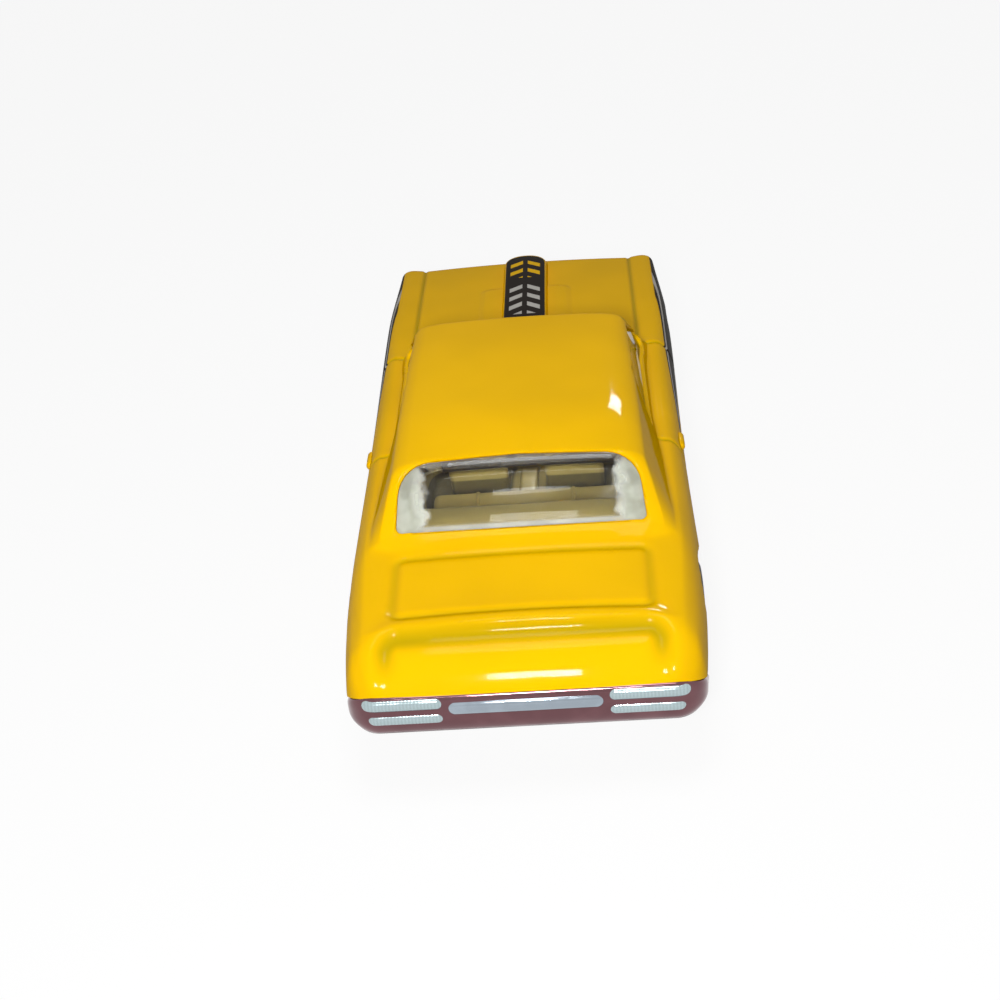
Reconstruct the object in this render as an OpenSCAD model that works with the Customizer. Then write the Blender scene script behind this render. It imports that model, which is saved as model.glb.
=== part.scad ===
// Die-cast toy coupe of about 1:64: a cast shell riveted to a base, with a clear glazing, an
// interior, plated bumpers and four free wheels between them.
// Millimetres: X is across the car, +Y is forward, Z is up from the ground under the tyres.

/* [Shell] */
// Length of the painted shell, nose to tail
shell_length = 73.4; // [72:0.2:76]
// Width of the shell at the waist, the widest line of its sides
shell_width = 30.8; // [30.4:0.2:31.6]
// How far the shoulders, where the sides turn into the top, lie inside the waist
shoulder_in = 1.6; // [1.4:0.1:1.8]
// How far the lower edge lies inside the waist
sill_in = 1.2; // [0.9:0.1:1.4]
// Thickness of the cast walls
wall = 1.2; // [1:0.1:1.4]
// Height of the shell's lower edge
sill_height = 4.4; // [4.2:0.1:4.8]
// Height of the waist
waist_height = 8.9; // [8.6:0.1:9.4]
// Height of the shoulders beside the doors
belt_height = 13.8; // [13.6:0.1:14.2]
// Height of the hood over the front axle
hood_height = 13.3; // [13:0.1:13.8]
// Height of the hood's front edge
nose_height = 12.4; // [12.2:0.1:12.8]
// Height of the boot lid at its front edge
deck_height = 14.8; // [14.6:0.1:15.2]
// Height of the lip across the tail
lip_height = 14.4; // [14.2:0.1:14.8]
// Height of the tail panel's foot at the back
tail_height = 10.3; // [10:0.1:10.6]
// Distance of the lip ahead of the tail
lip_in = 4.5; // [4.2:0.1:4.8]
// Radius of the tail's corners, seen from above
tail_round = 2.6; // [2:0.1:3.2]
// Radius of the nose's corners, seen from above
nose_round = 0.9; // [0.6:0.1:1.4]
// Radius of the cast door handles
handle_round = 0.45; // [0.35:0.05:0.55]
// Length of the door handles between their round ends
handle_length = 1.6; // [1.2:0.1:2]
// Gap between a tyre and its wheel arch
arch_gap = 0.8; // [0.6:0.1:1]

/* [Hood] */
// Width of the scoop along the hood's middle
scoop_width = 4.9; // [4:0.1:6]
// Height of the scoop above the hood
scoop_height = 0.95; // [0.6:0.05:1.2]
// Width of the low panel around the scoop
bulge_width = 9.4; // [8:0.2:11]
// Height of that panel above the hood
bulge_height = 0.25; // [0.15:0.05:0.4]
// Distance of that panel's front edge behind the nose
bulge_in = 8.3; // [7:0.1:10]
// Width of the engraved panel lines
line_width = 0.4; // [0.3:0.05:0.5]
// Depth of the engraved panel lines
line_depth = 0.2; // [0.15:0.05:0.3]

/* [Cabin] */
// How far the side windows' foot lies inside the waist
cabin_in = 3.2; // [2.9:0.1:3.5]
// How far the roof's edges lie inside the side windows' foot
roof_in = 1.8; // [1.5:0.1:2.2]
// Height of the roof
roof_height = 21; // [20.4:0.1:21.8]
// Distance of the windscreen's foot behind the nose
cowl_back = 23.5; // [22.7:0.1:24.1]
// Distance of the windscreen's head behind the nose
header_back = 29.7; // [29.1:0.1:30.3]
// Distance of the rear window's head ahead of the tail
roof_front = 19.5; // [18.9:0.1:20.1]
// Distance of the rear window's foot ahead of the tail
glass_front = 15.1; // [14.5:0.1:15.7]
// Thickness of the glazing
glass_wall = 0.8; // [0.6:0.1:1]
// Gap between the glazing and the shell
glass_gap = 0.14; // [0.06:0.02:0.2]
// How far the panes lie below the shell's outside
pane_sink = 0.35; // [0.2:0.05:0.5]

/* [Wheels] */
// Distance of the front axle behind the nose
front_overhang = 12.7; // [12:0.1:13.4]
// Distance of the rear axle ahead of the tail
rear_overhang = 14.2; // [13.4:0.1:15]
// Radius of the front tyres
front_tyre_radius = 5; // [4.8:0.1:5.2]
// Radius of the rear tyres
rear_tyre_radius = 5.4; // [5.2:0.1:5.6]
// Width of the front tyres
front_tyre_width = 3.8; // [3.4:0.1:4]
// Width of the rear tyres
rear_tyre_width = 4.2; // [3.8:0.1:4.4]
// How far the front tyres lie inside the waist
front_inset = 0.5; // [0.2:0.1:0.8]
// How far the rear tyres lie inside the waist
rear_inset = 0.4; // [0.2:0.1:0.8]
// Radius of the front rims where the tyres sit
front_rim_radius = 3.3; // [3:0.1:3.6]
// Radius of the rear rims where the tyres sit
rear_rim_radius = 3.6; // [3.3:0.1:3.9]
// Radius of the axle pins
axle_radius = 0.55; // [0.45:0.05:0.65]
// Play of an axle in its bearings and of a wheel on its axle
play = 0.05; // [0.03:0.01:0.08]

/* [Base] */
// Height of the base's flat underside above the ground
base_height = 3; // [2.6:0.1:3.2]
// Thickness of the base
base_wall = 1.6; // [1.4:0.1:1.8]
// Width of the base between the wheels
base_width = 25; // [24:0.2:25.4]
// Width of the base beside the wheels
base_waist = 18.4; // [17.6:0.2:18.8]
// Distance of the base's ends from the shell's
base_in = 5.2; // [4.8:0.1:5.4]
// Distance of the front rivet behind the nose
front_post_in = 6.7; // [6.2:0.1:7.2]
// Distance of the rear rivet ahead of the tail
rear_post_in = 7.7; // [7.2:0.1:8.2]
// Radius of the rivet posts
post_radius = 2.2; // [2:0.1:2.4]
// Radius of the rivets
rivet_radius = 1; // [0.8:0.1:1.1]
// How far the rivets reach into the posts
rivet_reach = 3.4; // [2.8:0.1:4]

/* [Interior] */
// How far the tub's rim reaches under the glazing's wall
tub_lap = 0.1; // [0.05:0.05:0.3]
// Distance of a front seat's middle from the tub's side
seat_in = 5.6; // [5:0.1:6]
// Width of a front seat
seat_width = 5.8; // [5:0.1:6.4]
// Height of a front seat's back above the floor
seat_height = 8; // [7:0.1:8.4]
// Depth of the dashboard
dash_depth = 3; // [2.4:0.1:3.6]
// Height of the dashboard
dash_height = 3.6; // [3:0.1:4]
// Height of the tub's floor
tub_floor = 5.8; // [5.6:0.1:6.2]
// Height of the tub's rim, where the glazing stands
tub_rim = 13.2; // [12.9:0.1:13.3]
// Radius of the steering wheel
steering_radius = 1.9; // [1.6:0.1:2.2]

/* [Bumpers] */
// How far the bumpers stand out from the shell
bumper_proud = 0.3; // [0.2:0.05:0.5]
// Height of the rear bumper's lower edge
rear_bumper_low = 6.6; // [6.4:0.1:6.8]
// Height of the rear bumper's upper edge
rear_bumper_top = 10.45; // [10.25:0.05:10.5]
// Height of the front bumper's lower edge
front_bumper_low = 5.4; // [5.2:0.1:5.8]
// Height of the front bumper's upper edge
front_bumper_top = 7.8; // [7.6:0.1:8]
// Length of the bumpers' ends along the sides
bumper_wrap = 4.4; // [3.6:0.2:5]
// Thickness of the plated mouldings
plate_wall = 1.2; // [1:0.1:1.4]
// Width of the hole for the grille
grille_width = 23.4; // [22:0.2:24]
// Height of that hole's lower edge
grille_low = 8.5; // [8.3:0.1:8.8]
// Height of that hole's upper edge
grille_top = 10.6; // [10.4:0.1:10.8]
// Radius of the round lamps beside the grille
lamp_round = 0.85; // [0.7:0.05:0.95]
// Distance of the outer round lamps from the car's middle
outer_lamp = 9.5; // [9:0.1:10]
// Distance of the inner round lamps from the car's middle
inner_lamp = 6.7; // [6.2:0.1:7]

/* [Hidden] */

$fn = 48;
eps = 0.02;
fit = 0.3;
cut = 30;

nose = shell_length / 2;
tail = -nose;
lip = tail + lip_in;
glass_foot = tail + glass_front;
roof_end = tail + roof_front;
header = nose - header_back;
cowl = nose - cowl_back;
screen_mid = (header + cowl) / 2;
glass_mid = (glass_foot + roof_end) / 2;
roof_run = header - roof_end;
roof_row_back = roof_end + 0.339 * roof_run;
roof_row_front = roof_end + 0.628 * roof_run;
door_back = roof_end + 0.446 * roof_run;
front_axle_y = nose - front_overhang;
rear_axle_y = tail + rear_overhang;
bulge_front = nose - bulge_in;
base_length = shell_length - 2 * base_in;

waist_x = shell_width / 2;
shoulder_x = waist_x - shoulder_in;
sill_x = waist_x - sill_in;
cabin_x = waist_x - cabin_in;
roof_x = cabin_x - roof_in;
base_top = base_height + base_wall;
front_track = shell_width - 2 * front_inset;
rear_track = shell_width - 2 * rear_inset;
tub_width = 2 * (cabin_x - wall - glass_gap - glass_wall + tub_lap);
seat_x = tub_width / 2 - seat_in;
front_post_y = nose - front_post_in;
rear_post_y = tail + rear_post_in;

paint = [0.93, 0.74, 0.05];
plated = [0.62, 0.55, 0.57];
steel = [0.75, 0.75, 0.77];
rubber = [0.08, 0.08, 0.09];
tan_plastic = [0.56, 0.48, 0.26];
dark_plastic = [0.14, 0.13, 0.12];
clear = [0.78, 0.84, 0.84, 0.5];

// One row of the shell's top at station y: points from the foot of the cabin to the middle.
// A hood or deck row is a shallow crown.
spread = [1, 0.93, 0.8, 0.62, 0.36, 0];
function deck_row(y, foot_x, foot_z, mid_z) =
    [y, for (s = spread) [foot_x * s, mid_z - (mid_z - foot_z) * s * s]];

// A cabin row goes up the side window to the roof's edge and over to the middle.
function cabin_row(y, foot_x, foot_z, edge_x, edge_z, mid_z) =
    let (foot = [foot_x, foot_z], edge = [edge_x, edge_z])
    [y, foot, foot + 0.12 * (edge - foot), foot + 0.8 * (edge - foot), edge,
     [0.82 * edge_x, edge_z + 0.72 * (mid_z - edge_z)], [0, mid_z]];

top_rows = [
    deck_row(tail, shoulder_x - 1.5, tail_height - 0.2, tail_height),
    deck_row(tail + 1.3, shoulder_x - 1.5, tail_height + 1.4, tail_height + 1.7),
    deck_row(lip - 0.9, shoulder_x - 1.5, lip_height - 1, lip_height - 0.75),
    deck_row(lip, shoulder_x - 1.4, lip_height - 0.7, lip_height),
    deck_row(lip + 2.6, shoulder_x - 1.4, lip_height - 0.5, lip_height - 0.1),
    deck_row(glass_foot - 1.6, shoulder_x - 1, deck_height - 0.4, deck_height),
    cabin_row(glass_foot, shoulder_x - 0.8, deck_height - 0.3, shoulder_x - 1.9, deck_height + 0.35,
        deck_height + 0.55),
    cabin_row(glass_mid, shoulder_x - 0.8, deck_height - 0.25, roof_x + 0.9, (deck_height + roof_height) / 2 - 0.5,
        (deck_height + roof_height) / 2 + 0.1),
    cabin_row(roof_end, shoulder_x - 0.9, deck_height - 0.3, roof_x + 0.2, roof_height - 1.5,
        roof_height - 0.6),
    cabin_row(roof_row_back, cabin_x + 0.4, belt_height + 0.2, roof_x + 0.1, roof_height - 1, roof_height),
    cabin_row(roof_row_front, cabin_x, belt_height, roof_x, roof_height - 1, roof_height),
    cabin_row(header, cabin_x, belt_height - 0.05, roof_x - 0.3, roof_height - 1.2, roof_height - 0.4),
    cabin_row(screen_mid, cabin_x + 0.2, belt_height - 0.1, roof_x + 0.8, (belt_height + roof_height) / 2 - 0.6,
        (belt_height + roof_height) / 2),
    cabin_row(cowl, cabin_x + 0.3, belt_height - 0.2, cabin_x - 0.3, belt_height + 0.1,
        belt_height + 0.3),
    deck_row(cowl + 1.5, cabin_x - 0.3, belt_height - 0.45, belt_height - 0.05),
    deck_row(front_axle_y, shoulder_x - 2.2, hood_height - 0.35, hood_height),
    deck_row(nose - 1, shoulder_x - 2.3, nose_height - 0.2, nose_height + 0.1),
    deck_row(nose, shoulder_x - 2.3, nose_height - 0.4, nose_height - 0.1)];

// The lines along the shell's sides, as [y, x, z].
sill_line = [[tail, sill_x - 1.1, sill_height + 1.2], [tail + 6, sill_x - 0.4, sill_height + 0.2],
    [rear_axle_y, sill_x, sill_height], [front_axle_y, sill_x, sill_height],
    [nose - 4, sill_x - 0.5, sill_height + 0.3], [nose, sill_x - 1, sill_height + 1]];
waist_line = [[tail, waist_x - 1.15, waist_height - 0.8], [tail + 6, waist_x - 0.45, waist_height - 0.2],
    [rear_axle_y, waist_x, waist_height + 0.1], [door_back + 1.4, waist_x - 0.3, waist_height],
    [front_axle_y, waist_x + 0.1, waist_height], [nose, waist_x - 0.7, waist_height - 0.2]];
side_line = [[tail, waist_x - 1.45, tail_height - 1], [tail + 1.3, waist_x - 1.4, tail_height + 0.3],
    [lip - 0.9, waist_x - 1.25, lip_height - 2.5], [lip + 2.6, waist_x - 1, lip_height - 2.3],
    [rear_axle_y, waist_x - 0.8, deck_height - 2.2], [0, waist_x - 0.6, belt_height - 1.7],
    [front_axle_y, waist_x - 0.4, hood_height - 1.5], [nose, waist_x - 0.9, nose_height - 1.5]];
shoulder_line = [[tail, shoulder_x - 0.7, tail_height - 0.25],
    [tail + 1.3, shoulder_x - 0.75, tail_height + 1.2], [lip - 0.9, shoulder_x - 0.7, lip_height - 1.25],
    [lip + 1, shoulder_x - 0.65, lip_height - 0.9], [glass_foot, shoulder_x - 0.2, deck_height - 0.6],
    [roof_row_back + 1, shoulder_x - 0.1, belt_height + 0.1], [cowl, shoulder_x, belt_height - 0.1],
    [front_axle_y, shoulder_x + 0.3, hood_height - 0.05], [nose, shoulder_x + 0.3, nose_height]];

// Smooth curve through the points of a line, without overshoot.
function span(k, y) = max([0, for (i = [0 : len(k) - 2]) if (y >= k[i][0]) i]);
function rise(k, i) = (k[i + 1][1] - k[i][1]) / (k[i + 1][0] - k[i][0]);
function lean(a, b) = a * b <= 0 ? 0 : 2 * a * b / (a + b);
function slope(k, i) = i == 0 ? rise(k, 0) : i == len(k) - 1 ? rise(k, i - 1)
    : lean(rise(k, i - 1), rise(k, i));
function curve(k, y) =
    let (i = span(k, y), w = k[i + 1][0] - k[i][0], t = min(1, max(0, (y - k[i][0]) / w)))
    k[i][1] * (1 + 2 * t) * (1 - t) * (1 - t) + slope(k, i) * w * t * (1 - t) * (1 - t)
    + k[i + 1][1] * t * t * (3 - 2 * t) + slope(k, i + 1) * w * t * t * (t - 1);
function along(line, y) = [for (c = [1, 2]) curve([for (p = line) [p[0], p[c]]], y)];

// How far the sides draw in at the shell's round ends.
function round_off(d, r) = d >= r ? 0 : r - sqrt(max(0, r * r - pow(r - d, 2)));
function draw_in(y) = round_off(y - tail, tail_round) + round_off(nose - y, nose_round);

// Half of the shell's section at station y, from the sill to the middle of the top.
function half_section(y) =
    let (points = concat([for (line = [sill_line, waist_line, side_line, shoulder_line]) along(line, y)],
        [for (j = [1 : 6]) along([for (row = top_rows) [row[0], row[j][0], row[j][1]]], y)]),
        squeeze = 1 - draw_in(y) / waist_x)
    [for (p = points) [p[0] * squeeze, p[1]]];
function mirrored(p) = concat(p, [for (i = [len(p) - 2 : -1 : 0]) [-p[i][0], p[i][1]]]);

// A section moved inward by a distance.
function unit(v) = v / max(norm(v), 0.001);
function inward(a, b) = let (t = unit(b - a)) [-t[1], t[0]];
function moved(p, d) = [for (i = [0 : len(p) - 1])
    let (n1 = inward(p[max(0, i - 1)], p[max(1, i)]),
        n2 = inward(p[min(len(p) - 2, i)], p[min(len(p) - 1, i + 1)]), n = unit(n1 + n2))
    p[i] + n * d / max(0.7, n * n1)];

// A section with its corners rounded, s points to a corner.
function rounded(p, s) = [p[0], for (i = [1 : len(p) - 2])
    let (a = (p[i - 1] + p[i]) / 2, b = (p[i] + p[i + 1]) / 2)
    for (t = [0 : 1 / s : 0.999]) (1 - t) * (1 - t) * a + 2 * t * (1 - t) * p[i] + t * t * b,
    (p[len(p) - 2] + p[len(p) - 1]) / 2, p[len(p) - 1]];

function steps(a, b, n) = [for (i = [0 : n - 1]) a + (b - a) * i / n];
stations = concat([tail, tail + 0.1, tail + 0.3, tail + 0.6, tail + 1, tail + 1.5, tail + 2.2],
    steps(lip - 0.9, lip, 2), steps(lip, lip + 2.6, 3), steps(lip + 2.6, glass_foot - 1.6, 4),
    steps(glass_foot - 1.6, roof_end, 8), steps(roof_end, header, 10), steps(header, cowl + 1.5, 9),
    steps(cowl + 1.5, nose - 2, 7), [nose - 2], [for (s = [1, 0.6, 0.3, 0.1, 0]) nose - s * nose_round]);

rough_stations = concat([for (i = [0 : 2 : len(stations) - 2]) stations[i]], [nose]);

// The shell's solid shape, moved inward by a distance; open_foot takes it on down past the sill,
// and rough leaves out every other station and round.
module skin(inset = 0, open_foot = 0, rough = false) {
    s = rough ? 1 : 2;
    rings = [for (y = rough ? rough_stations : stations)
        let (half = moved(mirrored(half_section(y)), inset), ring = rounded(half, s), last = len(ring) - 1)
        [for (j = [0 : last]) [ring[j][0], y * (nose - inset) / nose,
            ring[j][1] - (j == 0 || j == last ? open_foot : 0)]]];
    m = len(rings[0]);
    n = len(rings);
    polyhedron(points = [for (ring = rings) each ring],
        faces = concat([[for (j = [m - 1 : -1 : 0]) j]], [[for (j = [0 : m - 1]) (n - 1) * m + j]],
            [for (i = [0 : n - 2], j = [0 : m - 1])
                let (a = i * m + j, b = i * m + (j + 1) % m) each [[a, b, b + m], [a, b + m, a + m]]]));
}

// Rounded corners joined to a cutter, its corners at [u, v] in the plane and the depth along w.
module cutter(corners, radii, depth, grow = 0) {
    hull()
        for (i = [0 : len(corners) - 1])
            translate([corners[i][0], corners[i][1], -depth / 2])
                cylinder(r = radii[i] + grow, h = depth, $fn = 24);
}

screen_rise = roof_height - belt_height - 0.8;
back_rise = roof_height - deck_height - 1.1;
screen_angle = atan2(screen_rise, header - cowl);
back_angle = atan2(back_rise, roof_end - glass_foot);
screen_head = norm([screen_rise, header - cowl]) - 1.81;
back_head = norm([back_rise, roof_end - glass_foot]) - 3.15;
window_foot = belt_height + 1.7;
window_head = roof_height - 2.4;

module side_windows(grow = 0) {
    rotate([90, 0, 90])
        cutter([[screen_mid + 0.3, window_foot], [header - 1, window_head], [door_back + 3.4, window_head + 0.2],
            [door_back + 1.2, window_foot]],
            [0.7, 0.7, 0.9, 0.7], cut + shell_width, grow);
}

module windscreen(grow = 0) {
    translate([0, cowl, belt_height + 0.2])
        rotate([screen_angle, 0, 0])
            cutter([[-roof_x + 1.2, 2], [roof_x - 1.2, 2], [roof_x - 2.4, screen_head],
                [-roof_x + 2.4, screen_head]],
                [0.7, 0.7, 0.9, 0.9], 3.6, grow);
}

module rear_window(grow = 0) {
    translate([0, glass_foot, deck_height + 0.5])
        rotate([back_angle, 0, 0])
            cutter([[-roof_x + 0.3, 0.9], [roof_x - 0.3, 0.9], [roof_x - 3.1, back_head - 0.3], [0, back_head],
                [-roof_x + 3.1, back_head - 0.3]],
                [0.5, 0.5, 3.05, 3.05, 3.05], 3.6, grow);
}

module windows(grow = 0) {
    side_windows(grow);
    windscreen(grow);
    rear_window(grow);
}

// The room for a pair of tyres, open to both sides.
module arch(y, radius, width, track) {
    inside = track / 2 - width - arch_gap;
    translate([0, y, radius])
        for (side = [0, 180])
            rotate([0, 90, side])
                translate([0, 0, inside])
                    cylinder(r = radius + arch_gap, h = shell_width / 2);
}

module scoop() {
    hull() {
        translate([0, nose - 0.3 - scoop_width / 2, 0])
            cylinder(d = scoop_width, h = cut, $fn = 32);
        translate([-scoop_width / 2, cowl + 2.5, 0])
            cube([scoop_width, 1, cut]);
    }
}

module bulge() {
    hull() {
        for (x = [-1, 1])
            translate([x * (bulge_width / 2 - 1), bulge_front - 1, 0])
                cylinder(r = 1, h = cut, $fn = 24);
        translate([-bulge_width / 2 - 1, cowl + 0.5, 0])
            cube([bulge_width + 2, 1, cut]);
    }
}

// A line between two points in plan, to be engraved.
module line(a, b) {
    hull()
        for (p = [a, b])
            translate([p[0], p[1], waist_height + 3])
                cylinder(d = line_width, h = 6, $fn = 12);
}

lid_x = shoulder_x - 3.3;
lid_back = lip + 1.4;

module top_lines() {
    for (x = [-1, 1]) {
        line([x * (shoulder_x - 2.2), cowl + 2], [x * (shoulder_x - 2.2), nose + 0.5]);
        line([x * lid_x, glass_foot - 2], [x * lid_x, lid_back]);
    }
    line([-lid_x, glass_foot - 2], [lid_x, glass_foot - 2]);
    line([-lid_x, lid_back], [lid_x, lid_back]);
}

module door_lines() {
    door_front = cowl - 0.3;
    for (side = [0, 1])
        mirror([side, 0, 0])
            translate([shoulder_x - 0.5, 0, sill_height + 1.4]) {
                for (y = [door_front, door_back])
                    translate([0, y, 0])
                        cube([cut, line_width, belt_height - sill_height - 1.8]);
                translate([0, door_back, 0])
                    cube([cut, door_front - door_back + line_width, line_width]);
            }
}

handle_x = waist_x - 0.8;
handle_y = door_back + 2.4;
handle_z = belt_height - 1.65;

module handles() {
    for (x = [-handle_x, handle_x])
        hull()
            for (y = [handle_y - handle_length / 2, handle_y + handle_length / 2])
                translate([x, y, handle_z])
                    sphere(r = handle_round, $fn = 16);
}

grille_round = 0.7;
grille_end = grille_width / 2 - grille_round;
grille_mid = (grille_low + grille_top) / 2;

module grille_hole() {
    translate([0, nose, 0])
        rotate([90, 0, 0])
            cutter([[-grille_end, grille_low + grille_round], [grille_end, grille_low + grille_round],
                [grille_end, grille_top - grille_round], [-grille_end, grille_top - grille_round]],
                [for (i = [1 : 4]) grille_round], 3.4);
}

module bumper_room(front, low, top, grow = 0) {
    start = nose - bumper_wrap - grow;
    translate([-cut, front ? start : -start - cut, low])
        cube([2 * cut, cut, top - low + grow]);
}

module post(y) {
    translate([0, y, base_top])
        cylinder(r = post_radius, h = cut);
}

module keeper(y, z) {
    for (x = [-3.8, 3.8])
        translate([x - 0.6, y - 1.2, z + axle_radius + 0.2])
            cube([1.2, 2.4, cut]);
}

module rivet_bore(y) {
    translate([0, y, base_top - eps])
        cylinder(r = rivet_radius, h = rivet_reach + 0.2 + eps);
}

module body_shell() {
    color(paint)
        difference() {
            union() {
                skin();
                handles();
                intersection() {
                    scoop();
                    skin(-scoop_height);
                }
                intersection() {
                    bulge();
                    skin(-bulge_height);
                }
            }
            difference() {
                skin(wall, 3, true);
                post(front_post_y);
                post(rear_post_y);
                keeper(front_axle_y, front_tyre_radius);
                keeper(rear_axle_y, rear_tyre_radius);
            }
            windows();
            arch(front_axle_y, front_tyre_radius, front_tyre_width, front_track);
            arch(rear_axle_y, rear_tyre_radius, rear_tyre_width, rear_track);
            grille_hole();
            bumper_room(true, 0, front_bumper_top, 0.1);
            bumper_room(false, 0, rear_bumper_top, 0.1);
            rivet_bore(front_post_y);
            rivet_bore(rear_post_y);
            difference() {
                union() {
                    top_lines();
                    door_lines();
                }
                skin(line_depth, 0, true);
            }
        }
}

module base_outline() {
    wide = base_width / 2;
    slim = base_waist / 2;
    end = base_length / 2;
    back = rear_axle_y + rear_tyre_radius + 1;
    front = front_axle_y - front_tyre_radius - 1;
    right = [[slim, -end], [slim, back], [wide, back + 1.5], [wide, front - 1.5], [slim, front], [slim, end]];
    polygon(concat(right, [for (i = [len(right) - 1 : -1 : 0]) [-right[i][0], right[i][1]]]));
}

module bearing(y, z) {
    for (x = [-1, 1])
        translate([x * (base_waist / 2 - 2.2) - 1.7, y - 1.7, base_height])
            cube([3.4, 3.4, z + 1.2 - base_height]);
}

// The slot an axle drops into: round below, open above.
module axle_slot(y, z) {
    translate([-base_width / 2, y, z])
        rotate([0, 90, 0])
            cylinder(r = axle_radius + play, h = base_width);
    translate([-base_width / 2, y - axle_radius - play, z])
        cube([base_width, 2 * (axle_radius + play), 4]);
}

rivet_head = 1.9;
head_depth = 0.9;

module rivet_seat(y) {
    translate([0, y, base_height - eps]) {
        cylinder(r = rivet_radius, h = base_wall + 2 * eps);
        cylinder(r = rivet_head + fit, h = head_depth + eps);
    }
}

// Shallow panels pressed into the underside, as [x, y, width, length].
base_panels = [[-9.6, -13, 5.2, 26], [4.4, -13, 5.2, 26], [-5, -21, 10, 5]];

module base_plate() {
    color(plated)
        difference() {
            union() {
                translate([0, 0, base_height])
                    linear_extrude(base_wall)
                        base_outline();
                bearing(front_axle_y, front_tyre_radius);
                bearing(rear_axle_y, rear_tyre_radius);
            }
            axle_slot(front_axle_y, front_tyre_radius);
            axle_slot(rear_axle_y, rear_tyre_radius);
            rivet_seat(front_post_y);
            rivet_seat(rear_post_y);
            for (p = base_panels)
                translate([p[0], p[1], base_height - eps])
                    cube([p[2], p[3], 0.3 + eps]);
        }
}

module rivet(y) {
    color(steel)
        translate([0, y, base_height]) {
            translate([0, 0, head_depth - 0.7])
                cylinder(r = rivet_head, h = 0.7);
            translate([0, 0, head_depth - 0.1])
                cylinder(r = rivet_radius, h = base_wall - head_depth + 0.1 + rivet_reach);
        }
}

module front_rivet() rivet(front_post_y);
module rear_rivet() rivet(rear_post_y);

module bar(x1, x2, y, z, r) {
    hull()
        for (x = [x1, x2])
            translate([x, y, z])
                rotate([90, 0, 0])
                    cylinder(r = r, h = 2 * r, center = true, $fn = 16);
}

module bumper_band(front, low, top) {
    difference() {
        intersection() {
            skin(-bumper_proud);
            bumper_room(front, low, top);
        }
        skin(plate_wall, 3, true);
    }
}

// The two tongues by which a bumper lies on the base beside the rivet post, their tops at a height.
module tongues(front, top) {
    foot = base_length / 2 - 2;
    length = nose - plate_wall - foot + 0.6;
    rotate([0, 0, front ? 0 : 180])
        for (x = [-post_radius - 3.6, post_radius + 0.6]) {
            translate([x, foot, top - 1])
                cube([3, length, 1]);
            translate([x, foot, base_top])
                cube([3, 1.6, top - base_top]);
        }
}

lamp_rows = [rear_bumper_top - 2.25, rear_bumper_top - 0.75];
lamp_radius = 0.5;
lamp_in = 6.6;
lamp_out = 11.8;
lamp_half = (lamp_out - lamp_in) / 2 + 0.1;

module rear_bumper() {
    face = -nose - bumper_proud;
    color(plated) {
        difference() {
            bumper_band(false, rear_bumper_low, rear_bumper_top);
            for (x = [-1, 1], z = lamp_rows)
                translate([x * (lamp_in + lamp_out) / 2, face, z])
                    rotate([90, 0, 0])
                        cutter([[-lamp_half, -0.15], [lamp_half, -0.15], [lamp_half, 0.15], [-lamp_half, 0.15]],
                            [for (i = [1 : 4]) lamp_radius - 0.05], 0.7);
        }
        for (x = [-1, 1], z = lamp_rows)
            bar(x * lamp_in, x * lamp_out, face + lamp_radius, z, lamp_radius);
        bar(-5.4, 5.4, face + 0.4, lamp_rows[1] - 0.45, 0.4);
        tongues(false, rear_bumper_low + 1.2);
    }
}

module lamp(x) {
    translate([x, nose - wall - 0.4, grille_mid])
        rotate([-90, 0, 0])
            cylinder(r = lamp_round, h = wall + 0.1, $fn = 32);
}

module front_bumper() {
    back = nose - wall - plate_wall;
    face = back + plate_wall - 0.2;
    middle = inner_lamp - lamp_round - 0.4;
    plate_top = nose_height - wall - 2 * fit;
    color(plated) {
        bumper_band(true, front_bumper_low, front_bumper_top);
        translate([-grille_width / 2 + 0.1, back, front_bumper_top + fit])
            cube([grille_width - 0.2, face - back, plate_top - front_bumper_top - fit]);
        translate([-middle, back, front_bumper_top - 1])
            cube([2 * middle, face - back, 1 + 2 * fit]);
        translate([-middle, back, front_bumper_top - 1])
            cube([2 * middle, plate_wall + 0.4, 0.8]);
        for (i = [1 : 4])
            bar(-middle + 0.6, middle - 0.6, face, grille_low + i * (grille_top - grille_low) / 5, 0.18);
        for (x = [-1, 1], z = [grille_low + 0.3, grille_top - 0.3])
            bar(x * (middle + 0.2), x * grille_end, face, z, 0.18);
        for (x = [-outer_lamp, -inner_lamp, inner_lamp, outer_lamp])
            lamp(x);
        tongues(true, front_bumper_low + 1.2);
    }
}

glass_out = wall + glass_gap;
glass_foot_z = tub_rim + 0.3;

module cabin_room(low) {
    translate([-cut, glass_foot - 0.8, low])
        cube([2 * cut, cowl + 0.8 - glass_foot + 0.8, cut]);
}

module glazing() {
    color(clear) {
        difference() {
            union() {
                intersection() {
                    skin(glass_out, 0, true);
                    cabin_room(glass_foot_z);
                }
                intersection() {
                    skin(pane_sink);
                    windows(-0.12);
                }
            }
            skin(glass_out + glass_wall, 6, true);
        }
        for (x = [-1, 1], y = [roof_row_back + 1.5, header - 1])
            hull()
                for (dy = [-1, 1])
                    translate([x * (tub_width / 2 - 0.1), y + dy, tub_rim])
                        cylinder(r = 0.4, h = 0.9, $fn = 16);
    }
}

tub_front = cowl - 0.8;
tub_back = roof_end - 0.2;
tub_wall = 0.8;

module seat(x) {
    half = seat_width / 2;
    translate([x, 0, 0]) {
        hull() {
            translate([-half, -1.5, tub_floor])
                cube([seat_width, 6, 1.2]);
            translate([0.4 - half, -1, tub_floor])
                cube([seat_width - 0.8, 5.2, 2.2]);
        }
        hull() {
            translate([-half, -2.4, tub_floor])
                cube([seat_width, 1.8, seat_height / 2]);
            translate([0.6 - half, -4.2, tub_floor + seat_height - 0.6])
                cube([seat_width - 1.2, 1.3, 0.6]);
        }
    }
}

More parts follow.
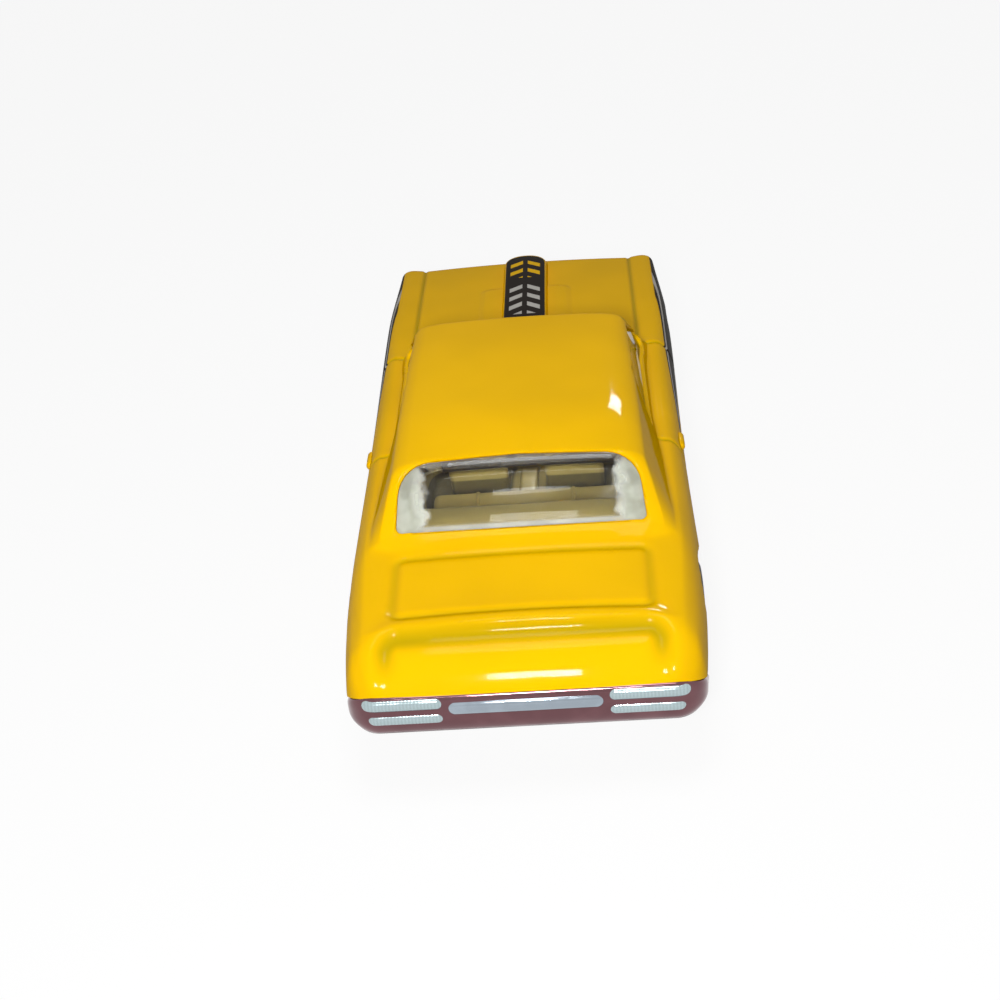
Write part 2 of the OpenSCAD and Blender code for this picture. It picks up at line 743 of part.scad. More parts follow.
module bench() {
    half = tub_width / 2 - 2 * tub_wall;
    start = tub_back + 2 * tub_wall;
    hull() {
        translate([-half, start + 3.6, tub_floor])
            cube([2 * half, 4.4, 1.8]);
        translate([0.4 - half, start + 3.6, tub_floor])
            cube([2 * half - 0.8, 4, 2.6]);
    }
    hull() {
        translate([-half, start + 1.8, tub_floor])
            cube([2 * half, 2.4, 2]);
        translate([0.6 - half, start - 0.2, tub_floor + seat_height - 1.4])
            cube([2 * half - 1.2, 1.6, 0.6]);
    }
}

module interior_tub() {
    half = tub_width / 2;
    color(tan_plastic) {
        difference() {
            translate([-half, tub_back, tub_floor - tub_wall])
                cube([tub_width, tub_front - tub_back, tub_rim - tub_floor + tub_wall]);
            translate([-half + tub_wall, tub_back + tub_wall, tub_floor])
                cube([tub_width - 2 * tub_wall, tub_front - tub_back - 2 * tub_wall, cut]);
        }
        for (x = [-1, 1])
            translate([x * half - (x > 0 ? 0.4 : 0), tub_back, tub_rim - 0.8])
                cube([0.4, tub_front - tub_back, 0.8]);
        for (x = [-seat_x, seat_x])
            seat(x);
        bench();
        for (x = [-7, 7], y = [-12, 7])
            translate([x - 1, y - 1, base_top])
                cube([2, 2, tub_floor - base_top - tub_wall + eps]);
        translate([-0.8, -6, tub_floor - eps])
            cube([1.6, 15, 1.4]);
    }
}

module dashboard() {
    half = tub_width / 2 - tub_wall;
    low = tub_rim - dash_height;
    color(dark_plastic)
        translate([-half, tub_front - tub_wall, 0])
            rotate([90, 0, 90])
                linear_extrude(2 * half)
                    polygon([[0, low], [0, tub_rim], [-dash_depth / 2, tub_rim + 0.3], [-dash_depth, tub_rim - 0.2],
                        [0.4 - dash_depth, low + 0.6], [1.2 - dash_depth, low]]);
}

column_start = 0.4;
column_length = 1.6;

module steering_wheel() {
    color(dark_plastic)
        translate([-seat_x, tub_front - tub_wall - dash_depth + fit, tub_rim - column_length])
            rotate([68, 0, 0]) {
                translate([0, 0, column_length]) {
                    rotate_extrude()
                        translate([steering_radius, 0])
                            circle(r = 0.3, $fn = 24);
                    for (a = [90, 210, 330])
                        rotate([0, 0, a])
                            translate([0, -0.25, -0.15])
                                cube([steering_radius, 0.5, 0.3]);
                }
                translate([0, 0, column_start])
                    cylinder(r = 0.35, h = column_length - column_start);
            }
}

module pin(y, z, track) {
    hub = track / 2 - 0.7;
    color(steel)
        translate([0, y, z])
            rotate([0, 90, 0]) {
                translate([0, 0, -hub - 2 * play])
                    cylinder(r = axle_radius, h = 2 * hub + 4 * play);
                for (side = [0, 180])
                    rotate([side, 0, 0])
                        translate([0, 0, hub + play])
                            cylinder(r = axle_radius + 0.4, h = 0.35);
            }
}

module front_axle() pin(front_axle_y, front_tyre_radius, front_track);
module rear_axle() pin(rear_axle_y, rear_tyre_radius, rear_track);

bead = 0.35;
lip_wall = 0.4;

// A wheel's place: its axis along X, local Z toward the outside of the car.
module at_wheel(side, y, radius, width, track) {
    translate([side * (track / 2 - width / 2), y, radius])
        rotate([0, side * 90, 0])
            children();
}

module tyre(radius, width, rim) {
    round = 0.7;
    color(rubber)
        rotate_extrude() {
            translate([rim, -width / 2 + lip_wall])
                square([bead + eps, width - 2 * lip_wall]);
            translate([rim + bead, -width / 2])
                square([radius - rim - bead - round, width]);
            translate([rim + bead, -width / 2 + round])
                square([radius - rim - bead, width - 2 * round]);
            for (s = [-1, 1])
                translate([radius - round, s * (width / 2 - round)])
                    circle(r = round);
        }
}

module rim(width, radius, track) {
    out = width / 2;
    hub_in = out - (track / 2 - base_waist / 2 - fit);
    color(steel)
        difference() {
            union() {
                difference() {
                    union() {
                        translate([0, 0, -out + lip_wall])
                            cylinder(r = radius, h = width - 2 * lip_wall);
                        for (z = [-out, out - lip_wall])
                            translate([0, 0, z])
                                cylinder(r = radius + bead, h = lip_wall);
                    }
                    translate([0, 0, out - 0.8])
                        cylinder(r = radius - 0.4, h = 2);
                    translate([0, 0, -out - 1])
                        cylinder(r = radius - 0.4, h = width - 0.8);
                    for (i = [0 : 4])
                        rotate([0, 0, 72 * i + 36])
                            translate([0, 0, out - 2.4])
                                linear_extrude(3)
                                    polygon([[1.5, -0.5], [radius - 0.5, -0.95], [radius - 0.5, 0.95], [1.5, 0.5]]);
                }
                translate([0, 0, hub_in])
                    cylinder(r = 1.3, h = out - 0.7 - hub_in);
            }
            translate([0, 0, hub_in - 1])
                cylinder(r = axle_radius + play, h = width + 12);
        }
}

module front_rim(side)
    at_wheel(side, front_axle_y, front_tyre_radius, front_tyre_width, front_track)
        rim(front_tyre_width, front_rim_radius, front_track);
module rear_rim(side)
    at_wheel(side, rear_axle_y, rear_tyre_radius, rear_tyre_width, rear_track)
        rim(rear_tyre_width, rear_rim_radius, rear_track);
module front_tyre(side)
    at_wheel(side, front_axle_y, front_tyre_radius, front_tyre_width, front_track)
        tyre(front_tyre_radius, front_tyre_width, front_rim_radius);
module rear_tyre(side)
    at_wheel(side, rear_axle_y, rear_tyre_radius, rear_tyre_width, rear_track)
        tyre(rear_tyre_radius, rear_tyre_width, rear_rim_radius);

module front_left_rim() front_rim(-1);
module front_right_rim() front_rim(1);
module rear_left_rim() rear_rim(-1);
module rear_right_rim() rear_rim(1);
module front_left_tyre() front_tyre(-1);
module front_right_tyre() front_tyre(1);
module rear_left_tyre() rear_tyre(-1);
module rear_right_tyre() rear_tyre(1);

body_shell();
base_plate();
front_bumper();
rear_bumper();
glazing();
interior_tub();
dashboard();
steering_wheel();
front_axle();
rear_axle();
front_left_rim();
front_right_rim();
rear_left_rim();
rear_right_rim();
front_left_tyre();
front_right_tyre();
rear_left_tyre();
rear_right_tyre();
front_rivet();
rear_rivet();
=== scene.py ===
import math

import bpy
import numpy as np
from mathutils import Matrix, Vector


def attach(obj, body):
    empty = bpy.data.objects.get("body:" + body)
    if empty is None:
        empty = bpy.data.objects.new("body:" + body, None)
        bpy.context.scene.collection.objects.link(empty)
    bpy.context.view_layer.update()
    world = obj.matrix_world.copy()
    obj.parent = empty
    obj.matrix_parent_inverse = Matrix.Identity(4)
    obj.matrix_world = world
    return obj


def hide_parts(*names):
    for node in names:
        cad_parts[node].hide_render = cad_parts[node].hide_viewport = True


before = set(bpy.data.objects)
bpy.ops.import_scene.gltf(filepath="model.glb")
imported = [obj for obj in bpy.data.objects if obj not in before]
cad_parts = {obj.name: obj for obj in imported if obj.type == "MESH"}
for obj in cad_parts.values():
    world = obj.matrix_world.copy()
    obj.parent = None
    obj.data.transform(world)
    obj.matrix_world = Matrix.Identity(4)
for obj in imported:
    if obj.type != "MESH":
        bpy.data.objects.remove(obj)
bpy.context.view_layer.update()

bl_info = {
    "name": "Die-cast coupe",
    "version": (1, 0, 0),
    "blender": (4, 5, 0),
    "location": "View3D > Sidebar > Coupe",
    "description": "Models the pieces of a small die-cast toy coupe around its packed frame",
    "category": "Object",
}

MM = 0.001

# The shell's lines in millimetres, as in the part's source: along the car, across it, then heights.
NOSE, TAIL, LIP = 36.7, -36.7, -32.2
GLASS_FOOT, ROOF_END, HEADER, COWL = -21.6, -17.2, 7.0, 13.2
GLASS_MID, SCREEN_MID = (GLASS_FOOT + ROOF_END) / 2, (HEADER + COWL) / 2
WAIST_X, SHOULDER_X, SILL_X, CABIN_X, ROOF_X = 15.4, 13.8, 14.2, 12.2, 10.4
SILL_Z, WAIST_Z, BELT_Z, HOOD_Z, NOSE_Z = 4.4, 8.9, 13.8, 13.3, 12.4
DECK_Z, LIP_Z, TAIL_Z, ROOF_Z = 14.8, 14.4, 10.3, 21.0
TAIL_ROUND, NOSE_ROUND, END_ROUND = 2.6, 0.9, 0.45
WALL = 1.2
FRONT_Y, REAR_Y = 24.0, -22.5
FRONT_TYRE, REAR_TYRE = 5.0, 5.4
FRONT_WIDTH, REAR_WIDTH = 3.8, 4.2
FRONT_TRACK, REAR_TRACK = 29.8, 30.0
ARCH_GAP = 0.8
# Each pair of wheels' place along the car and radius.
WHEELS = ((FRONT_Y, FRONT_TYRE), (REAR_Y, REAR_TYRE))
# The bumpers and lamps: how far the bumpers stand out and reach along the sides, their heights, how much
# the rear one's top falls along the sides for each millimetre, and the heights that give the bars' way.
BUMPER_PROUD, BUMPER_WRAP = 0.3, 4.5
REAR_BUMPER_LOW, REAR_BUMPER_TOP, REAR_BUMPER_FALL = 6.6, 10.45, 0.62
NOSE_BAR_LOW, NOSE_BAR_TOP = 5.4, 7.8
BUMPER_LEVEL, NOSE_BAR_LEVEL = 8.4, 7.4
BUMPER_ROOM = 0.1
LAMP_SUNK, LAMP_DEPTH = -0.15, 0.4
HEADLAMPS_X, HEADLAMP_Z = (-9.5, -6.7, 6.7, 9.5), 9.55
# Beyond the car on every side.
FAR = 40.0
# Above this height a point of the shell belongs to its top, and this far from a line there is none of it.
TOP_Z, NO_LINE = 11.5, 9.0
# Beyond this place across the car a point of the shell belongs to its flank.
FLANK_X = 12.0
# Where a row over the hood or the boot has its points, as shares of its half width.
SPREAD = (1, 0.93, 0.8, 0.62, 0.36, 0)


def deck_row(y, foot_x, foot_z, mid_z):
    """A row of the shell's top over the hood or the boot: a shallow crown."""
    return y, [(foot_x * s, mid_z - (mid_z - foot_z) * s * s) for s in SPREAD]


def cabin_row(y, foot_x, foot_z, edge_x, edge_z, mid_z):
    """A row over the cabin: up the side window to the roof's edge and over to the middle."""
    foot, edge = np.array((foot_x, foot_z)), np.array((edge_x, edge_z))
    up = [tuple(foot + t * (edge - foot)) for t in (0, 0.12, 0.8, 1)]
    return y, up + [(0.82 * edge_x, edge_z + 0.72 * (mid_z - edge_z)), (0, mid_z)]


TOP_ROWS = (
    deck_row(TAIL, SHOULDER_X - 1.5, TAIL_Z - 0.2, TAIL_Z),
    deck_row(TAIL + 1.3, SHOULDER_X - 1.5, TAIL_Z + 1.4, TAIL_Z + 1.7),
    deck_row(LIP - 0.9, SHOULDER_X - 1.5, LIP_Z - 1, LIP_Z - 0.75),
    deck_row(LIP, SHOULDER_X - 1.4, LIP_Z - 0.7, LIP_Z),
    deck_row(LIP + 2.6, SHOULDER_X - 1.4, LIP_Z - 0.5, LIP_Z - 0.1),
    deck_row(GLASS_FOOT - 1.6, SHOULDER_X - 1, DECK_Z - 0.4, DECK_Z),
    cabin_row(GLASS_FOOT, SHOULDER_X - 0.8, DECK_Z - 0.3, SHOULDER_X - 1.9, DECK_Z + 0.35, DECK_Z + 0.55),
    cabin_row(GLASS_MID, SHOULDER_X - 0.8, DECK_Z - 0.25, ROOF_X + 0.9, 17.4, 18),
    cabin_row(ROOF_END, SHOULDER_X - 0.9, DECK_Z - 0.3, ROOF_X + 0.2, ROOF_Z - 1.5, ROOF_Z - 0.6),
    cabin_row(-9, CABIN_X + 0.4, BELT_Z + 0.2, ROOF_X + 0.1, ROOF_Z - 1, ROOF_Z),
    cabin_row(-2, CABIN_X, BELT_Z, ROOF_X, ROOF_Z - 1, ROOF_Z),
    cabin_row(HEADER, CABIN_X, BELT_Z - 0.05, ROOF_X - 0.3, ROOF_Z - 1.2, ROOF_Z - 0.4),
    cabin_row(SCREEN_MID, CABIN_X + 0.2, BELT_Z - 0.1, ROOF_X + 0.8, 16.8, 17.4),
    cabin_row(COWL, CABIN_X + 0.3, BELT_Z - 0.2, CABIN_X - 0.3, BELT_Z + 0.1, BELT_Z + 0.3),
    deck_row(COWL + 1.5, CABIN_X - 0.3, BELT_Z - 0.45, BELT_Z - 0.05),
    deck_row(FRONT_Y, SHOULDER_X - 2.2, HOOD_Z - 0.35, HOOD_Z),
    deck_row(NOSE - 1, SHOULDER_X - 2.3, NOSE_Z - 0.2, NOSE_Z + 0.1),
    deck_row(NOSE, SHOULDER_X - 2.3, NOSE_Z - 0.4, NOSE_Z - 0.1),
)
# The sill, the waist, the upper side and the shoulder, as (y, x, z).
SIDE_LINES = (
    ((TAIL, SILL_X - 1.1, SILL_Z + 1.2), (TAIL + 6, SILL_X - 0.4, SILL_Z + 0.2), (REAR_Y, SILL_X, SILL_Z),
     (FRONT_Y, SILL_X, SILL_Z), (NOSE - 4, SILL_X - 0.5, SILL_Z + 0.3), (NOSE, SILL_X - 1, SILL_Z + 1)),
    ((TAIL, WAIST_X - 1.15, WAIST_Z - 0.8), (TAIL + 6, WAIST_X - 0.45, WAIST_Z - 0.2),
     (REAR_Y, WAIST_X, WAIST_Z + 0.1), (-5, WAIST_X - 0.3, WAIST_Z), (FRONT_Y, WAIST_X + 0.1, WAIST_Z),
     (NOSE, WAIST_X - 0.7, WAIST_Z - 0.2)),
    ((TAIL, WAIST_X - 1.45, TAIL_Z - 1), (TAIL + 1.3, WAIST_X - 1.4, TAIL_Z + 0.3),
     (LIP - 0.9, WAIST_X - 1.25, LIP_Z - 2.5), (LIP + 2.6, WAIST_X - 1, LIP_Z - 2.3),
     (REAR_Y, WAIST_X - 0.8, DECK_Z - 2.2), (0, WAIST_X - 0.6, BELT_Z - 1.7),
     (FRONT_Y, WAIST_X - 0.4, HOOD_Z - 1.5), (NOSE, WAIST_X - 0.9, NOSE_Z - 1.5)),
    ((TAIL, SHOULDER_X - 0.7, TAIL_Z - 0.25), (TAIL + 1.3, SHOULDER_X - 0.75, TAIL_Z + 1.2),
     (LIP - 0.9, SHOULDER_X - 0.7, LIP_Z - 1.25), (LIP + 1, SHOULDER_X - 0.65, LIP_Z - 0.9),
     (GLASS_FOOT, SHOULDER_X - 0.2, DECK_Z - 0.6), (-8, SHOULDER_X - 0.1, BELT_Z + 0.1),
     (COWL, SHOULDER_X, BELT_Z - 0.1), (FRONT_Y, SHOULDER_X + 0.3, HOOD_Z - 0.05),
     (NOSE, SHOULDER_X + 0.3, NOSE_Z)),
)


def smooth_curve(knots, values, y):
    """A smooth curve through the values, without overshoot."""
    knots, values = np.array(knots, float), np.array(values, float)
    width = np.diff(knots)
    rise = np.diff(values) / width
    both = rise[:-1] * rise[1:]
    lean = np.where(both > 0, 2 * both / np.where(both > 0, rise[:-1] + rise[1:], 1), 0)
    slope = np.concatenate((rise[:1], lean, rise[-1:]))
    i = np.clip(np.searchsorted(knots, y, side="right") - 1, 0, len(knots) - 2)
    w = width[i]
    t = np.clip((y - knots[i]) / w, 0, 1)
    return (values[i] * (1 + 2 * t) * (1 - t) ** 2 + slope[i] * w * t * (1 - t) ** 2
            + values[i + 1] * t * t * (3 - 2 * t) + slope[i + 1] * w * t * t * (t - 1))


def round_off(distance, radius):
    """How far a round edge of that radius falls back at a distance from its end."""
    d = np.clip(distance, 0, radius)
    return radius - np.sqrt(radius ** 2 - (radius - d) ** 2)


def smooth_step(low, high, v):
    """From 0 at low to 1 at high, without a corner."""
    t = np.clip((v - low) / (high - low), 0, 1)
    return t * t * (3 - 2 * t)


def sections(ys):
    """The shell's control sections, from the right sill over the top to the left sill."""
    half = np.empty((len(ys), 10, 2))
    for j, line in enumerate(SIDE_LINES):
        knots, *lanes = zip(*line)
        for c in (0, 1):
            half[:, j, c] = smooth_curve(knots, lanes[c], ys)
    knots = [row[0] for row in TOP_ROWS]
    for j in range(6):
        for c in (0, 1):
            half[:, 4 + j, c] = smooth_curve(knots, [row[1][j][c] for row in TOP_ROWS], ys)
    squeeze = 1 - (round_off(ys - TAIL, TAIL_ROUND) + round_off(NOSE - ys, NOSE_ROUND)) / WAIST_X
    half[:, :, 0] *= squeeze[:, None]
    left = half[:, -2::-1].copy()
    left[:, :, 0] *= -1
    return np.concatenate((half, left), 1)


def moved_in(sections_in, distance):
    """Sections moved inward, by one distance or by one for each section."""
    lean = np.diff(sections_in, axis=1)
    lean /= np.maximum(np.linalg.norm(lean, axis=2, keepdims=True), 0.001)
    inward = np.stack((-lean[..., 1], lean[..., 0]), -1)
    before = np.concatenate((inward[:, :1], inward), 1)
    after = np.concatenate((inward, inward[:, -1:]), 1)
    normal = before + after
    normal /= np.linalg.norm(normal, axis=2, keepdims=True)
    mitre = np.maximum(0.7, (normal * before).sum(2))
    depth = np.broadcast_to(np.asarray(distance, float), (len(sections_in),))
    return sections_in + normal * (depth[:, None] / mitre)[..., None]


# How many points each round of a section gets, from the sill to the middle.
FINE = (5, 8, 8, 10, 10, 12, 12, 12, 14)
PLAIN = (2, 4, 4, 4, 4, 5, 5, 5, 6)


def rounded(corners, steps, foot):
    """Sections with every corner rounded."""
    steps = tuple(steps) + tuple(steps[-2::-1])
    middles = (corners[:, :-1] + corners[:, 1:]) / 2
    points = [corners[:, 0] + (middles[:, 0] - corners[:, 0]) * t for t in np.arange(foot) / foot]
    for i, count in enumerate(steps, 1):
        for t in np.arange(count) / count:
            points.append((1 - t) ** 2 * middles[:, i - 1] + 2 * t * (1 - t) * corners[:, i]
                          + t * t * middles[:, i])
    points += [middles[:, -1] + (corners[:, -1] - middles[:, -1]) * t for t in np.arange(foot + 1) / foot]
    return np.stack(points, 1)


def stations(*spans):
    """Places along the car: (from, to, step) one after the other."""
    parts = [np.linspace(a, b, max(1, round(abs(b - a) / step)), endpoint=False) for a, b, step in spans]
    return np.concatenate(parts + [np.array([spans[-1][1]])])


def end_steps(count, radius):
    """Distances from an end that follow its round edge."""
    return radius * (1 - np.cos(np.linspace(0, math.pi / 2, count)))


FINE_STATIONS = np.unique(np.concatenate((
    TAIL + end_steps(7, END_ROUND),
    stations((TAIL + 0.55, LIP + 2.6, 0.11), (LIP + 2.6, GLASS_FOOT - 2.6, 0.3),
             (GLASS_FOOT - 2.6, ROOF_END + 1, 0.14), (ROOF_END + 1, -6.9, 0.4), (-6.9, -5.5, 0.1),
             (-5.5, HEADER - 1, 0.4), (HEADER - 1, COWL + 2.6, 0.16), (COWL + 2.6, NOSE - 0.6, 0.27)),
    NOSE - end_steps(7, END_ROUND))).round(4))
PLAIN_STATIONS = stations((TAIL, LIP + 1, 0.4), (LIP + 1, GLASS_FOOT - 1.6, 1),
                          (GLASS_FOOT - 1.6, ROOF_END + 1, 0.35), (ROOF_END + 1, HEADER - 1, 0.8),
                          (HEADER - 1, COWL + 2, 0.4), (COWL + 2, NOSE, 0.8))


def skin_points(ys, inset=0.0, steps=PLAIN, foot=2, end_round=END_ROUND):
    """The shell's outside, or a skin inset from it, as rows of points."""
    ends = round_off(ys - TAIL, end_round) + round_off(NOSE - ys, end_round)
    ring = rounded(moved_in(sections(ys), inset + ends), steps, foot)
    along = np.broadcast_to((ys * (NOSE - inset) / NOSE)[:, None], ring.shape[:2])
    return np.stack((ring[..., 0], along, ring[..., 1]), -1)


def outward(points):
    """The outward normals of rows of points."""
    across = np.gradient(points, axis=1)
    along = np.gradient(points, axis=0)
    normal = np.cross(along, across)
    normal /= np.maximum(np.linalg.norm(normal, axis=2, keepdims=True), 1e-9)
    middle = points.mean((0, 1))
    return normal if (normal * (points - middle)).sum() > 0 else -normal


def box_distance(u, v, low, high, radius):
    """Signed distance to a rectangle with round corners, below 0 inside."""
    mid = (np.array(low) + high) / 2
    half = (np.array(high) - low) / 2 - radius
    du, dv = abs(u - mid[0]) - half[0], abs(v - mid[1]) - half[1]
    return np.hypot(np.maximum(du, 0), np.maximum(dv, 0)) + np.minimum(np.maximum(du, dv), 0) - radius


def round_outline(corners, radii, grow=0.0, steps=8):
    """The outline round the circles at a window's corners, anticlockwise."""
    corners = np.array(corners, float)
    count = len(corners)

    def tangent(i, j):
        """The angle at which the straight run from circle i to circle j touches both."""
        way = corners[j] - corners[i]
        return math.atan2(way[1], way[0]) - math.pi / 2 + math.asin((radii[i] - radii[j]) / np.hypot(*way))

    points = []
    for i in range(count):
        start, end = tangent(i - 1, i), tangent(i, (i + 1) % count)
        while end < start:
            end += 2 * math.pi
        for t in np.linspace(start, end, steps):
            points.append(corners[i] + (radii[i] + grow) * np.array((math.cos(t), math.sin(t))))
    return np.array(points)


def outline_distance(points, outline):
    """Signed distance of plane points to a closed outline that bulges all round, below 0 inside."""
    ring = np.concatenate([outline + (np.roll(outline, -1, 0) - outline) * t for t in (0, 0.25, 0.5, 0.75)])
    near = np.full(len(points), np.inf)
    for p in ring:
        near = np.minimum(near, np.hypot(*(points - p).T))
    edge = np.roll(outline, -1, 0) - outline
    inside = np.ones(len(points), bool)
    for p, e in zip(outline, edge):
        inside &= e[0] * (points[:, 1] - p[1]) - e[1] * (points[:, 0] - p[0]) >= 0
    return np.where(inside, -near, near)


# The windows: the circles at their corners, each in the window's own plane, and the circles' radii.
SIDE_WINDOW = (((SCREEN_MID + 0.3, 15.5), (HEADER - 1, 18.6), (-3, 18.8), (-5.2, 15.5)), (0.7, 0.7, 0.9, 0.7))
WINDSCREEN = (((-ROOF_X + 1.2, 2), (ROOF_X - 1.2, 2), (ROOF_X - 2.4, 7.1), (-ROOF_X + 2.4, 7.1)),
              (0.7, 0.7, 0.9, 0.9))
REAR_WINDOW = (((-ROOF_X + 0.3, 0.9), (ROOF_X - 0.3, 0.9), (ROOF_X - 3.1, 3.29), (0, 3.59),
                (-ROOF_X + 3.1, 3.29)), (0.5, 0.5, 3.05, 3.05, 3.05))
SCREEN_LEAN = math.atan2(ROOF_Z - 0.6 - BELT_Z - 0.2, HEADER - COWL)
BACK_LEAN = math.atan2(ROOF_Z - DECK_Z - 1.1, ROOF_END - GLASS_FOOT)
SCREEN_PLANE = Matrix.Translation((0, COWL, BELT_Z + 0.2)) @ Matrix.Rotation(SCREEN_LEAN, 4, "X")
BACK_PLANE = Matrix.Translation((0, GLASS_FOOT, DECK_Z + 0.5)) @ Matrix.Rotation(BACK_LEAN, 4, "X")
SIDE_PLANE = Matrix(((0, 0, 1, 0), (1, 0, 0, 0), (0, 1, 0, 0), (0, 0, 0, 1)))
# Each opening's outline, its plane, how deep its cutter reaches to both sides and its share of the
# paint's round edge.
OPENINGS = ((SIDE_WINDOW, SIDE_PLANE, 30.0, 0.5),
            (WINDSCREEN, SCREEN_PLANE, 1.8, 1.0),
            (REAR_WINDOW, BACK_PLANE, 1.8, 1.0))
# The door handles' place across the car and height.
GRIP_X, GRIP_Z = 14.5, 12.15
# The cast webs inside the wheel arches: their place across the car, half thickness and (y, z) outlines.
WEB_X, WEB_HALF = 8.4, 0.4
WHEEL_WEBS = (((17.8, 6.6), (30.2, 6.6), (30.2, 11.9), (17.8, 12.2)),
              ((-28.9, 6.6), (-17.7, 6.6), (-17.7, 13.1), (-22.6, 13.1), (-22.6, 13.6), (-28.9, 13.6)))


# Modelling helpers, each a few of Blender's own operators.
def clear():
    """Leaves edit mode and deselects everything."""
    if bpy.context.object and bpy.context.object.mode != "OBJECT":
        bpy.ops.object.mode_set(mode="OBJECT")
    bpy.ops.object.select_all(action="DESELECT")


def only(obj):
    """Makes obj the one that is selected and active."""
    clear()
    obj.select_set(True)
    bpy.context.view_layer.objects.active = obj


def edit_all(obj):
    """Opens obj in edit mode with all of it selected."""
    only(obj)
    bpy.ops.object.mode_set(mode="EDIT")
    bpy.ops.mesh.select_all(action="SELECT")


def fresh(name):
    """Names the primitive that was just added."""
    obj = bpy.context.object
    obj.name = obj.data.name = name
    return obj


def put(obj, points):
    """Moves the vertices to points in millimetres."""
    obj.data.vertices.foreach_set("co", (np.asarray(points, float) * MM).ravel())
    obj.data.update()


def volume(obj):
    """The volume of a closed mesh, below 0 where its faces point inward."""
    obj.data.calc_loop_triangles()
    places = np.array([v.co for v in obj.data.vertices])
    a, b, c = (places[[t.vertices[i] for t in obj.data.loop_triangles]] for i in range(3))
    return (a * np.cross(b, c)).sum() / 6


def closed(obj):
    """Merges doubles, fills open ends and turns the faces outward."""
    edit_all(obj)
    bpy.ops.mesh.remove_doubles(threshold=2e-7)
    bpy.ops.mesh.fill_holes(sides=0)
    bpy.ops.mesh.select_all(action="SELECT")
    bpy.ops.mesh.normals_make_consistent(inside=False)
    bpy.ops.object.mode_set(mode="OBJECT")
    if volume(obj) < 0:
        bpy.ops.object.mode_set(mode="EDIT")
        bpy.ops.mesh.flip_normals()
        bpy.ops.object.mode_set(mode="OBJECT")
    return obj


def tube(name, rings):
    """A closed body through rings of points, capped at both ends."""
    rings = np.concatenate((rings, rings[:, :1]), 1)
    rows, columns = rings.shape[:2]
    clear()
    bpy.ops.mesh.primitive_grid_add(x_subdivisions=columns - 1, y_subdivisions=rows - 1, size=2,
                                    calc_uvs=False)
    obj = fresh(name)
    flat = np.empty(len(obj.data.vertices) * 3)
    obj.data.vertices.foreach_get("co", flat)
    flat = flat.reshape(-1, 3)
    column = np.rint((flat[:, 0] + 1) / 2 * (columns - 1)).astype(int)
    row = np.rint((flat[:, 1] + 1) / 2 * (rows - 1)).astype(int)
    put(obj, rings[row, column])
    return closed(obj)


def prism(name, outline, plane, low, high):
    """A cutter: an outline in a plane, extruded from low to high along the plane's normal."""
    clear()
    bpy.ops.mesh.primitive_circle_add(vertices=len(outline), fill_type="NGON", calc_uvs=False)
    obj = fresh(name)
    put(obj, [plane @ Vector((u, v, low)) for u, v in outline])
    edit_all(obj)
    push = (plane.to_3x3() @ Vector((0, 0, high - low))) * MM
    bpy.ops.mesh.extrude_region_move(TRANSFORM_OT_translate={"value": push})
    bpy.ops.mesh.select_all(action="SELECT")
    bpy.ops.mesh.normals_make_consistent(inside=False)
    bpy.ops.object.mode_set(mode="OBJECT")
    return obj


def block(name, low, high, soft=0.0, segments=3):
    """A cube between two corners in millimetres, its edges bevelled by soft."""
    low, high = np.array(low, float), np.array(high, float)
    clear()
    bpy.ops.mesh.primitive_cube_add(size=1, calc_uvs=False)
    obj = fresh(name)
    unit = np.array([v.co for v in obj.data.vertices])
    put(obj, (low + high) / 2 + unit * (high - low))
    return softened(obj, soft, segments) if soft else obj


def cylinder(name, radius, depth, place=(0, 0, 0), turn=(0, 0, 0), vertices=32):
    """A cylinder with its size and place in millimetres."""
    clear()
    bpy.ops.mesh.primitive_cylinder_add(vertices=vertices, radius=radius * MM, depth=depth * MM,
                                        rotation=turn, location=Vector(place) * MM)
    bpy.ops.object.transform_apply(location=True, rotation=True, scale=True)
    return fresh(name)


def ball(name, radius, segments, turn):
    """A sphere at the origin, its poles turned by the angles given."""
    clear()
    bpy.ops.mesh.primitive_uv_sphere_add(segments=segments, ring_count=16, radius=radius * MM, rotation=turn)
    bpy.ops.object.transform_apply(rotation=True)
    return fresh(name)


def softened(obj, width, segments=3, angle=30):
    """Rounds the edges that are sharper than an angle."""
    only(obj)
    bevel = obj.modifiers.new("round", "BEVEL")
    bevel.width = width * MM
    bevel.segments = segments
    bevel.limit_method = "ANGLE"
    bevel.angle_limit = math.radians(angle)
    bpy.ops.object.modifier_apply(modifier=bevel.name)
    return obj


def spun(name, section, steps):
    """A ring: a closed section of (x, radius) points turned round the X axis."""
    clear()
    bpy.ops.mesh.primitive_circle_add(vertices=len(section), fill_type="NOTHING", calc_uvs=False)
    obj = fresh(name)
    put(obj, [(x, 0, r) for x, r in section])
    edit_all(obj)
    bpy.ops.mesh.spin(steps=steps, angle=2 * math.pi, center=(0, 0, 0), axis=(1, 0, 0))
    bpy.ops.mesh.select_all(action="SELECT")
    bpy.ops.mesh.remove_doubles(threshold=2e-6)
    bpy.ops.mesh.normals_make_consistent(inside=False)
    bpy.ops.object.mode_set(mode="OBJECT")
    return obj


def carve(obj, tool, operation="DIFFERENCE"):
    """Takes a tool's shape out of obj, adds it or keeps what is common, and removes the tool."""
    only(obj)
    cut = obj.modifiers.new("carve", "BOOLEAN")
    cut.operation = operation
    cut.solver = "MANIFOLD"
    cut.object = tool
    bpy.ops.object.modifier_apply(modifier=cut.name)
    bpy.data.objects.remove(tool)
    if not obj.data.polygons:
        raise RuntimeError(f"{obj.name} came out empty")
    return obj


def joined(name, parts):
    """Several bodies as one piece."""
    only(parts[0])
    for part in parts[1:]:
        part.select_set(True)
    bpy.ops.object.join()
    return fresh(name)


